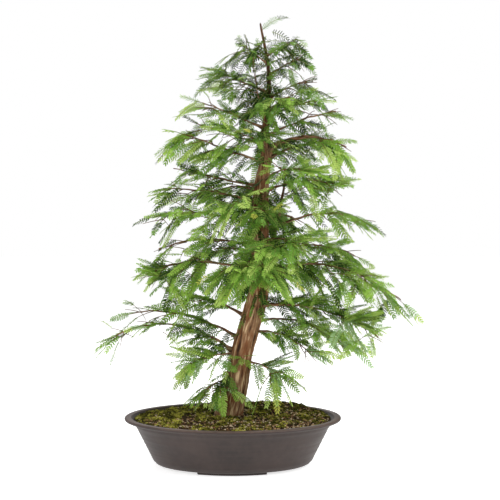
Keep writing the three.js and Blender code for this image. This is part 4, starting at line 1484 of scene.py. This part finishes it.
def blade_point(blade, share):
    """A place along a blade's middle, which sags with the square of the way out."""
    out = share * blade.length
    return blade.centre + blade.ahead * out - blade.over * (blade.hang * out * out / blade.length)


def blade_heading(blade, share):
    """Which way a blade's middle runs at a share of its length."""
    return (blade.ahead - blade.over * (2 * blade.hang * share)).normalized()


def off_trunk(place):
    """The level step from the trunk's middle to a place."""
    middle = trunk_at(place.z)[0]
    return Vector((place.x - middle.x, place.y - middle.y, 0))


def reaching(heading, place, draw, weight=1):
    """The heading of a spray turned outward, less so near the trunk, and down by its weight."""
    out = off_trunk(place)
    inside = 1 - float(smoothstep(out.length, *TURNING))
    high = min(max((place.z - CROWN_FOOT) / CROWN_RISE, 0), 1)
    heading = heading.normalized() + out.normalized() * (draw.uniform(*OUTWARD) * (1 - inside))
    heading.z -= weight * draw.uniform(0, 1) * (lerp(*DROP, high) + 0.8 * inside)
    level = math.hypot(heading.x, heading.y)
    lowest = lerp(*STEEPEST, high) - inside
    heading.z = min(max(heading.z, lowest * level), (RISING + 0.5 * inside) * level)
    return heading.normalized()


def free_spray(limb, root, heading, length, outer, draw):
    """A spray whose flat side is turned at random about its own heading."""
    across = turned(across_of(heading), heading, draw.uniform(-SPRAY_ROLL, SPRAY_ROLL))
    return Spray(limb, root, heading, across, length, sag() * draw.uniform(0.5, 1.6), outer)


def sag():
    """How far a usual spray hangs over its length."""
    return bpy.context.scene.bonsai_needles.droop


def carry_on(blade, draw):
    """A blade as a branchlet: its wood, and the sprays along it and at its end."""
    last = TWIG_RINGS - 1
    wood = [blade_point(blade, WOOD_SHARE * k / last) for k in range(TWIG_RINGS)]
    side = draw.choice((-1, 1))
    sprays = []
    for share in SIDE_SPRAYS:
        side = -side
        share += draw.uniform(-0.05, 0.05)
        angle = draw.uniform(*SIDE_ANGLE)
        aside = blade.across * (side * math.sin(angle))
        heading = blade_heading(blade, share) * math.cos(angle) + aside
        length = draw.uniform(*SIDE_LENGTH) * min(1, blade.length / 50)
        root = blade_point(blade, share)
        heading = reaching(heading, root, draw)
        sprays.append(free_spray(blade.limb, root, heading, length, share, draw))
    share = draw.uniform(*LAST_SPRAY)
    root = blade_point(blade, share)
    ahead = (blade_point(blade, 1) - root).normalized()
    across = turned(blade.across, ahead, draw.uniform(-0.5, 0.5))
    length = blade.length * (1 - share)
    sprays.append(Spray(blade.limb, root, ahead, across, length, sag() * draw.uniform(0.2, 0.9), 1))
    return wood, sprays


def fine_shoots(index, course, draw):
    """Single sprays that line a limb."""
    end = stem_end(course)
    start = (trunk_at(LIMBS[index].height)[1] + 6) / course.length()
    count = round((1 - start) * course.length() / SHOOT_SPACING)
    sprays = []
    for k in range(count):
        t = lerp(start, lerp(end, 1, LIMB_WOOD), (k + draw.random()) / count)
        turn = (1 if k % 2 else -1) * math.pi / 2 + draw.uniform(-1.3, 1.3)
        heading = branch_heading(course.heading(t), turn, draw.random)
        length = draw.uniform(*SHOOT_LENGTH) * (1 if t < end else 0.8)
        heading.z += draw.uniform(0, 0.5)
        heading = reaching(heading, course.at(t), draw, weight=draw.choice((0, 0.4, 1)))
        sprays.append(free_spray(index, course.at(t), heading, length, t * 0.7, draw))
    return sprays


def trunk_shoots(draw):
    """Short sprays that grow straight from the trunk and hide it in part."""
    sprays = []
    heights = [draw.uniform(low, high) for count, low, high in TRUNK_SHOOTS for _ in range(count)]
    for height in heights:
        azimuth = draw.uniform(0, 2 * math.pi)
        out = Vector((math.cos(azimuth), math.sin(azimuth), draw.uniform(-0.8, 0.5))).normalized()
        middle, radius = trunk_at(height)
        owner = min(range(len(LIMBS)), key=lambda i: abs(LIMBS[i].height - height))
        length = draw.uniform(24, 36) * (1.1 - height / 1200)
        root = middle + out * radius * 0.8
        heading = reaching(out, root, draw, weight=0.6)
        sprays.append(free_spray(owner, root, heading, length, 0.7, draw))
    return sprays


def reaches(wood, target):
    """Whether a spray may grow from the wood to the target, both as seen from the front.

    It grows outward from the trunk, over a fair distance, and neither steep nor upright.
    """
    step = target - wood
    if not CLOSING_FROM[0] < step.length < CLOSING_FROM[1]:
        return False
    outward = step.x * (wood.x - CROWN_MIDDLE) > -INWARD_SLACK
    return outward and -1.8 * abs(step.x) < step.y < 0.7 * abs(step.x)


def closing_sprays(anchors, draw):
    """Sprays that reach into the dense places from the wood near by."""
    eye = camera_place()
    seen = [(Vector(seen_from_front(place)), limb, place) for limb, place in anchors]
    sprays = []
    for x, z, wide, high in DENSE:
        for _ in range(round(DENSITY * math.pi * wide * high)):
            turn = draw.uniform(0, 2 * math.pi)
            out = math.sqrt(draw.random())
            target = Vector((x + wide * out * math.cos(turn), z + high * out * math.sin(turn)))
            near = [a for a in seen if reaches(a[0], target)]
            if not near:
                continue
            _, limb, root = min(draw.sample(near, min(3, len(near))), key=lambda a: a[2].y)
            deep = root.y + draw.uniform(-10, 10)
            further = (eye.y - deep) / eye.y
            tip = Vector((lerp(eye.x, target.x, further), deep, lerp(eye.z, target.y, further)))
            ahead = tip - root
            length = ahead.length * CLOSING_OVERSHOOT
            sprays.append(free_spray(limb, root, ahead.normalized(), length, 0.8, draw))
    return sprays


def arching_spray(index, course):
    """A limb that is one thin green spray from the trunk to its tip."""
    knee = course.knee - course.root
    ahead = knee.normalized()
    length = 2 * knee.length
    across = turned(across_of(ahead), ahead, 1.2)
    hang = 4 * LIMBS[index].arch / length
    return Spray(index, course.root, ahead, across, length, hang, 1, ("middle", "deep"))


def single_sprays(draw):
    """The sprays that are placed one by one."""
    owner = LIMB_NAMES.index("low_right")
    sprays = []
    for root, azimuth, pitch, length, tint, tip in SINGLES:
        azimuth, pitch = math.radians(azimuth), math.radians(pitch)
        level = Vector((math.cos(azimuth), math.sin(azimuth), 0))
        heading = level * math.cos(pitch) + UP * math.sin(pitch)
        across = turned(across_of(heading), heading, draw.uniform(-0.4, 0.4))
        sprays.append(Spray(owner, Vector(root), heading, across, length, 0.12, 1, (tint, tip)))
    return sprays


def outness(spray):
    """How far out along its limb a spray starts, about 1 at the limb's tip."""
    return off_trunk(spray.root).length / max(LIMBS[spray.limb].reach, 110)


def spray_point(spray, share):
    """A place along a spray, which sags with the square of the way out."""
    fall = spray.hang * spray.length * share * share
    return spray.root + spray.ahead * (spray.length * share) - UP * fall


def camera_place():
    """The camera's place in millimetres round the pot."""
    stage = bpy.context.scene.bonsai_stage
    return Vector((stage.aside, -stage.distance, stage.eye_height)) / MM


def seen_from_front(place):
    """Where a place shows on the upright plane through the pot's middle: (x, z)."""
    eye = camera_place()
    nearer = eye.y / (eye.y - place.y)
    return eye.x + (place.x - eye.x) * nearer, eye.z + (place.z - eye.z) * nearer


def in_opening(spray):
    """Whether the spray would close one of the places where the sky shows through."""
    for share in (0.3, 0.65, 1):
        x, z = seen_from_front(spray_point(spray, share))
        for middle_x, middle_z, wide, high in OPENINGS:
            if ((x - middle_x) / wide) ** 2 + ((z - middle_z) / high) ** 2 < 1:
                return True
    return False


def within_reach(sprays):
    """The sprays, shortened where they would pass the solid model's reach."""
    kept = []
    for spray in sprays:
        tip = spray_point(spray, 1)
        over = max(max(tip[i] - REACH_HIGH[i], REACH_LOW[i] - tip[i]) for i in range(3)) + REACH_MARGIN
        length = spray.length - 1.3 * max(over, 0)
        if length > SHORTEST_SPRAY:
            kept.append(spray._replace(length=length))
    return kept


def nearest(places, place):
    """Distance from a place to the nearest of rows of places."""
    return np.linalg.norm(places - np.array(place), axis=1).min()


class Tree:
    """The whole growth: courses, twigs, branchlets and sprays of needles."""

    def __init__(self):
        self.courses = limb_courses()
        self.twigs = []
        self.branchlets = []
        sprays = []
        blades = []
        stems = []
        for index, limb in enumerate(LIMBS):
            course = self.courses[limb.name]
            first = math.floor(8 * limb.bare + 0.5)
            stems.append(np.array([course.at(k / 8) for k in range(first, 9)]))
            if limb.twig:
                twigs, grown = growth(index, course)
                self.twigs += twigs
                blades += grown
            else:
                sprays.append(arching_spray(index, course))
        marks = np.array([blade_point(blade, 0.6) for blade in blades])
        owners = np.array([blade.limb for blade in blades])
        draw = random.Random(14)
        for blade, keep in zip(blades, in_own_space(marks, owners, stems, SPACE_SLACK)):
            wood, carried = carry_on(blade, draw)
            if keep:
                self.branchlets.append(wood)
                sprays += carried
        for index, limb in enumerate(LIMBS):
            if limb.twig:
                sprays += fine_shoots(index, self.courses[limb.name], draw)
        sprays = [s for s in sprays if draw.random() > THINNED * smoothstep(outness(s), 0.6, 1)]
        anchors = [(blade.limb, blade_point(blade, 0.2)) for blade in blades]
        for index, limb in enumerate(LIMBS):
            anchors += [(index, self.courses[limb.name].at(k / 20)) for k in range(2, 17)]
        sprays += trunk_shoots(draw) + closing_sprays(anchors, draw)
        sprays = [spray for spray in sprays if not in_opening(spray)] + single_sprays(draw)
        self.sprays = within_reach(sprays)
        roots = np.array([spray.root for spray in self.sprays])
        self.branchlets = [w for w in self.branchlets if nearest(roots, w[2]) < BARE_BRANCHLET]
        self.twigs = [twig for twig in self.twigs if nearest(roots, twig[1]) < BARE_TWIG]


@cache
def grown_tree():
    """The tree's growth, worked out once."""
    return Tree()


# ---- Limbs and twigs ---------------------------------------------------------------------


def limb_mesh(limb, course, draw):
    """One limb from inside the trunk to its end: (points, faces, skin, relief)."""
    span = course.length()
    last = 0.95 if limb.name in UPRIGHT else lerp(stem_end(course), 1, LIMB_WOOD)
    rings = max(16, round(span / 3))
    sides = 12 if limb.root > 2.7 else 8
    shares = np.linspace(0, last, rings)
    along = shares * span
    path = np.array([course.at(t) for t in shares])
    shift = 1000 * draw.random()
    kinks = np.array([noise.noise_vector(Vector((shift, 0, reach / 13))) for reach in along])
    path += 1.5 * kinks * np.minimum(along / 30, 1)[:, None]
    trunk_radius = trunk_at(limb.height)[1] if limb.name not in ON_LEADER else 4
    outer = 0 if limb.name in UPRIGHT else smoothstep(shares, 0.3, 0.6)
    slender = lerp(LIMB_SLENDER, 1, (limb.root > STOUT) * (1 - outer))
    radius = slender * limb.root * (1 - (1 - TIP_SHARE) * shares)
    collar = 1 + 1.1 * np.exp(-np.maximum(along - trunk_radius, 0) / 6)
    knots = 1 + 0.13 * np.sin(along / 4.7 + draw.uniform(0, 6)) * np.sin(along / 15 + draw.uniform(0, 6))
    points, faces = tubes([path], [radius * collar * knots], sides)
    turns = np.tile(np.arange(sides) * 2 * math.pi / sides, rings)
    reach = np.repeat(along, sides)
    skin = np.stack([6 * np.cos(turns), 6 * np.sin(turns), reach + shift], axis=-1)
    relief = noise_of(skin * (1 / 2.4, 1 / 2.4, 1 / 11))
    centre = np.repeat(path, sides, axis=0)
    points = centre + (points - centre) * (1 + 0.2 * relief)[:, None]
    return points, faces, skin, relief


class BONSAI_OT_limbs(bpy.types.Operator):
    """The boughs and the stems that run on through the foliage, with their bark"""

    bl_idname = "bonsai.limbs"
    bl_label = "Build Limbs"

    def execute(self, context):
        tree = grown_tree()
        draw = random.Random(3)
        noise.seed_set(3)  # the kinks of the limbs are the same each time
        parts = [limb_mesh(limb, tree.courses[limb.name], draw) for limb in LIMBS if limb.twig]
        points, faces = joined([part[:2] for part in parts])
        limbs = mesh_from_arrays("bark_limbs", points, faces)
        set_attribute(limbs.data, "grain", np.concatenate([part[2] for part in parts]) * MM)
        set_attribute(limbs.data, "relief", 0.5 + 0.5 * np.concatenate([part[3] for part in parts]))
        limbs.data.shade_smooth()
        boughs = [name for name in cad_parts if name.startswith("bough_")]
        settle(limbs, "bark_limbs", "bark", [bark_material("young_bark", YOUNG_BARK, 480.0)], *boughs)
        return {"FINISHED"}


def bowed(root, tip, draw):
    """A twig's course, a little out of straight."""
    side = across_of((tip - root).normalized())
    bow = (tip - root).length * draw.uniform(-0.07, 0.07)
    lift = (tip - root).length * draw.uniform(0.0, 0.08)
    steps = np.linspace(0, 1, TWIG_RINGS)
    return [root.lerp(tip, t) + (side * bow + UP * lift) * math.sin(math.pi * t) for t in steps]


class BONSAI_OT_twigs(bpy.types.Operator):
    """The twigs and branchlets that carry the needles"""

    bl_idname = "bonsai.twigs"
    bl_label = "Build Twigs"

    def execute(self, context):
        tree = grown_tree()
        draw = random.Random(6)
        paths = [bowed(root, tip, draw) for root, tip in tree.twigs]
        twig_radii = tapering(1.0, 0.6, TWIG_RINGS, len(paths))
        branchlet_radii = tapering(0.62, 0.34, TWIG_RINGS, len(tree.branchlets))
        parts = [tubes(paths, twig_radii, 5), tubes(tree.branchlets, branchlet_radii, 4)]
        twigs = mesh_from_arrays("twigs", *joined(parts))
        twigs.data.shade_smooth()
        bark = speckled_material("twig_bark", *TWIG_TONES, 300.0, 0.4, 0.8)
        settle(twigs, "twigs", "bark", [bark])
        return {"FINISHED"}


# ---- Needles -----------------------------------------------------------------------------------


def needle_points(root, heading, side, length, width, fall):
    """One needle: a flat narrow strip, pointed at both ends and bent on at its tip."""
    first = root + heading * (0.2 * length)
    last = root + heading * (0.78 * length) - UP * (0.5 * fall * length)
    tip = root + heading * length + Vector((0.05 * length, 0, -fall * length))
    near = side * (0.5 * width)
    far = side * (0.43 * width)
    return [root, first - near, first + near, last + far, last - far, tip]


NEEDLE_FACES = ((0, 2, 1), (1, 2, 3), (1, 3, 4), (4, 3, 5))


def model_spray(length, slender, draw):
    """A spray that points along X, blunt at its tip: (points, faces, place of each face)."""
    sizes = bpy.context.scene.bonsai_needles
    width = sizes.width / MM * slender
    pairs = round(length / NEEDLE_GAP)
    points = []
    faces = []
    places = []
    for k in range(pairs + 1):
        share = k / pairs
        root = Vector((length * (0.07 + 0.9 * share), 0, 0))
        size = sizes.length / MM * (0.46 + 0.54 * math.sin(math.pi * (0.1 + 0.84 * share)))
        angle = lerp(1.28, 0.72, share**2) + draw.uniform(-0.08, 0.08)
        for side in (-1, 1):
            turn = angle + draw.uniform(-0.08, 0.08)
            lift = draw.uniform(-0.2, 0.05) if slender == 1 else draw.uniform(-0.2, 0.4)
            heading = Vector((math.cos(turn), side * math.sin(turn), lift)).normalized()
            flat = turned(heading.cross(UP).normalized(), heading, draw.uniform(-0.3, 0.3))
            long = size * draw.uniform(0.88, 1.08)
            first = len(points)
            points += needle_points(root, heading, flat, long, width, draw.uniform(0, 0.14))
            faces += [tuple(first + corner for corner in face) for face in NEEDLE_FACES]
            places += [share] * len(NEEDLE_FACES)
    return np.array(points), np.array(faces), np.array(places)


def spray_arrays(sprays):
    """Roots, three directions, lengths and hang of sprays as arrays."""
    ahead = np.array([spray.ahead for spray in sprays])
    across = np.array([spray.across for spray in sprays])
    across = unit_rows(across - ahead * np.sum(ahead * across, axis=1, keepdims=True))
    over = np.cross(ahead, across)
    flip = np.where(over[:, 2:] < 0, -1, 1)
    roots = np.array([spray.root for spray in sprays])
    lengths = np.array([spray.length for spray in sprays])
    hang = np.array([spray.hang for spray in sprays])
    return roots, ahead, across * flip, over * flip, lengths, hang


def hung(points, modelled, roots, ahead, across, over, lengths, hang):
    """Copies of a spray's points, modelled at one length: scaled, sagging and put in place."""
    x, y, z = (points[None] * (lengths / modelled)[:, None, None]).transpose(2, 0, 1)
    placed = roots[:, None] + x[..., None] * ahead[:, None] + y[..., None] * across[:, None]
    placed += z[..., None] * over[:, None]
    placed[..., 2] -= (hang / lengths)[:, None] * x * x
    return placed


def green_of(spray, draw):
    """A spray's green by its place: darker inside the crown as painted shade, lighter farther out as
    painted light, darker toward the top, pale low down.
    """
    place = spray.root
    height = (place.z - LOWEST_GREEN) / GREEN_RISE
    if draw.random() < PALE_LOW - 3.0 * height + 0.002 * max(place.x, 0):
        return draw.choice(("pale", "pale", "pale", "light", "fresh"))
    patch = noise.noise(place / 60)
    # Painted shade and light: the nearer a spray is to the trunk and the farther back along its branchlet,
    # the darker its green.
    light = 0.5 * outness(spray) + 0.3 * spray.outer + 0.35 * patch + draw.uniform(-0.42, 0.42)
    light -= 0.5 * max(height - 0.7, 0) / 0.3
    return ("deep", "middle", "fresh", "light")[int(np.digitize(light, (0.14, 0.42, 0.78)))]


def tints_of(spray, draw):
    """The tints of a spray and of its tip, which is often fresher."""
    green = green_of(spray, draw)
    tip = LIGHTER[green] if draw.random() < FRESH_TIPS else green
    if spray.tints:
        green, tip = spray.tints
    return TINT_NAMES.index(green), TINT_NAMES.index(tip)


def yellowed(sprays):
    """The sprays in front whose tips come nearest to where a yellow tip shows."""
    chosen = set()
    seen = np.array([seen_from_front(spray_point(spray, 1)) for spray in sprays])
    front = np.array([spray_point(spray, 1).y for spray in sprays])
    for place in YELLOW_TIPS:
        far = np.linalg.norm(seen - place, axis=1) + 0.15 * front
        chosen.add(int(far.argmin()))
    return chosen


def needle_mesh(name, sprays, tints, templates, draw):
    """One piece of needles from copies of the modelled sprays."""
    arrays = spray_arrays(sprays)
    roots, lengths = arrays[0], arrays[4]
    kind = np.abs(lengths[:, None] - np.array(SPRAY_KINDS)[None]).argmin(axis=1)
    share = lerp(*SPARSE, smoothstep(roots[:, 2], 400, 540))
    share = share + SPARSE_TIPS * smoothstep(np.array([outness(spray) for spray in sprays]), 0.75, 1.1)
    sparse = share > [draw.random() for _ in sprays]
    variant = np.array([draw.randrange(2) for _ in sprays]) + 2 * sparse
    parts = []
    face_tints = []
    for (k, v), (points, faces, places) in templates.items():
        chosen = (kind == k) & (variant == v)
        if not chosen.any():
            continue
        placed = hung(points, SPRAY_KINDS[k], *(array[chosen] for array in arrays))
        parts.append((placed.reshape(-1, 3), repeated(faces, len(placed), len(points))))
        own, tip = tints[chosen].T
        face_tints.append(np.where(places[None] > TIP_FROM, tip[:, None], own[:, None]).ravel())
    return mesh_from_arrays(name, *joined(parts), np.concatenate(face_tints))


def shoot_mesh(tree):
    """The thin green shoots that the needles sit on."""
    middles = np.stack([np.linspace(0, 0.98, SHOOT_RINGS), *np.zeros((2, SHOOT_RINGS))], axis=-1)
    paths = hung(middles, 1, *spray_arrays(tree.sprays))
    radii = tapering(0.58, 0.3, SHOOT_RINGS, len(paths))
    shoots = mesh_from_arrays("shoots", *tubes(paths, radii, 3))
    shoots.data.shade_smooth()
    return shoots


class BONSAI_OT_needles(bpy.types.Operator):
    """The sprays of needles, in one piece for each region of the crown, and their shoots"""

    bl_idname = "bonsai.needles"
    bl_label = "Build Needles"

    def execute(self, context):
        tree = grown_tree()
        draw = random.Random(11)
        templates = {
            (k, v): model_spray(length, slender, draw)
            for k, length in enumerate(SPRAY_KINDS)
            for v, slender in enumerate(SPRAY_SLENDER)
        }
        materials = [needle_material(f"needle_{name}", *tint) for name, tint in TINTS.items()]
        tints = np.array([tints_of(spray, draw) for spray in tree.sprays])
        for index in yellowed(tree.sprays):
            tints[index, 1] = TINT_NAMES.index("yellow")
        owners = np.array([spray.limb for spray in tree.sprays])
        for region, limbs in REGIONS.items():
            chosen = np.flatnonzero(np.isin(owners, [LIMB_NAMES.index(name) for name in limbs]))
            sprays = [tree.sprays[i] for i in chosen]
            piece = needle_mesh(region, sprays, tints[chosen], templates, draw)
            settle(piece, region, "needles", materials, *[f"mass_{name}" for name in limbs])
        green = speckled_material("shoot", *SHOOT_TONES, 200.0, 0.1, 0.6)
        settle(shoot_mesh(tree), "shoots", "needles", [green])
        return {"FINISHED"}


# ---- Stage ---------------------------------------------------------------------------------


# Soft area lights: place, size in metres and power in watts.
LIGHTS = {
    "right": ((1.9, -0.9, 1.3), 1.5, 30),
    "left": ((-1.9, -0.9, 1.1), 1.5, 18),
    "top": ((0.2, -0.5, 2.5), 1.4, 26),
    "back": ((-0.4, 2.1, 1.4), 1.6, 8),
}
AMBIENT = 0.4  # light from all round
FLOOR_RADIUS = 40  # metres
FLOOR_GLOW = 0.72  # makes the floor as pale as the background


def floor_material(colour):
    """A pale matt floor, faintly uneven in tone."""
    material, nodes, shader, place = new_material("floor", 0.7, 0.2)
    shade = [c * 0.985 for c in colour]
    tone = mottled(nodes, place, 0.6, shade, colour)
    glow = {"Emission Color": (1, 1, 1), "Emission Strength": FLOOR_GLOW}
    nodes.fill(shader, {"Base Color": tone, **glow})
    return material


def add_light(name, place, size, power):
    """An area light that points at the middle of the tree."""
    data = bpy.data.lights.new(name, "AREA")
    data.size = size
    data.energy = power
    light = bpy.data.objects.new(name, data)
    bpy.context.collection.objects.link(light)
    light.location = place
    aim = place_of(0, 0, 300) - Vector(place)
    light.rotation_euler = aim.to_track_quat("-Z", "Y").to_euler()


class BONSAI_OT_stage(bpy.types.Operator):
    """A pale floor, soft studio light and the camera"""

    bl_idname = "bonsai.stage"
    bl_label = "Build Stage"

    def execute(self, context):
        stage = context.scene.bonsai_stage
        start_modelling()
        bpy.ops.mesh.primitive_circle_add(
            vertices=96, radius=FLOOR_RADIUS, fill_type="NGON", location=(0, 0, 0)
        )
        floor = context.object
        floor.name = "floor"
        floor.data.materials.append(floor_material(stage.floor))
        for name, light in LIGHTS.items():
            add_light(name, *light)
        self.set_world(context)
        self.set_camera(context, stage)
        return {"FINISHED"}

    def set_world(self, context):
        world = bpy.data.worlds.new("studio")
        world.use_nodes = True
        nodes = Nodes(world.node_tree)
        seen = nodes.add("ShaderNodeLightPath").outputs["Is Camera Ray"]
        light = {"Color": (1, 1, 1), "Strength": nodes.remap(seen, 0.0, 1.0, AMBIENT, 1.0)}
        nodes.fill(world.node_tree.nodes["Background"], light)
        context.scene.world = world
        context.scene.view_settings.view_transform = "Standard"

    def set_camera(self, context, stage):
        data = bpy.data.cameras.new("camera")
        data.lens = stage.lens
        data.sensor_width = 36
        data.clip_end = 200
        camera = bpy.data.objects.new("camera", data)
        context.collection.objects.link(camera)
        camera.location = place_of(0, 0, 0) + Vector((stage.aside, -stage.distance, stage.eye_height))
        camera.rotation_euler = (math.pi / 2, 0, 0)
        context.scene.camera = camera


# ---- Panel and registration -----------------------------------------------------------------


OPERATORS = [
    BONSAI_OT_stage,
    BONSAI_OT_pot,
    BONSAI_OT_soil,
    BONSAI_OT_trunk,
    BONSAI_OT_limbs,
    BONSAI_OT_twigs,
    BONSAI_OT_needles,
]


class BONSAI_PT_panel(bpy.types.Panel):
    """Lists the tree's pieces and their settings"""

    bl_idname = "BONSAI_PT_panel"
    bl_label = "Dawn Redwood Bonsai"
    bl_space_type = "VIEW_3D"
    bl_region_type = "UI"
    bl_category = "Bonsai"

    def draw(self, context):
        for name, kind in SETTINGS.items():
            box = self.layout.box()
            for prop in kind.__annotations__:
                box.prop(getattr(context.scene, name), prop)
        for operator in OPERATORS:
            self.layout.operator(operator.bl_idname)


CLASSES = [*SETTINGS.values(), *OPERATORS, BONSAI_PT_panel]


def register():
    for cls in CLASSES:
        bpy.utils.register_class(cls)
    for name, kind in SETTINGS.items():
        setattr(bpy.types.Scene, name, PointerProperty(type=kind))


def unregister():
    for name in SETTINGS:
        delattr(bpy.types.Scene, name)
    for cls in reversed(CLASSES):
        bpy.utils.unregister_class(cls)


def main():
    register()
    for operator in OPERATORS:
        area, name = operator.bl_idname.split(".")
        getattr(getattr(bpy.ops, area), name)()


if __name__ == "__main__":
    main()
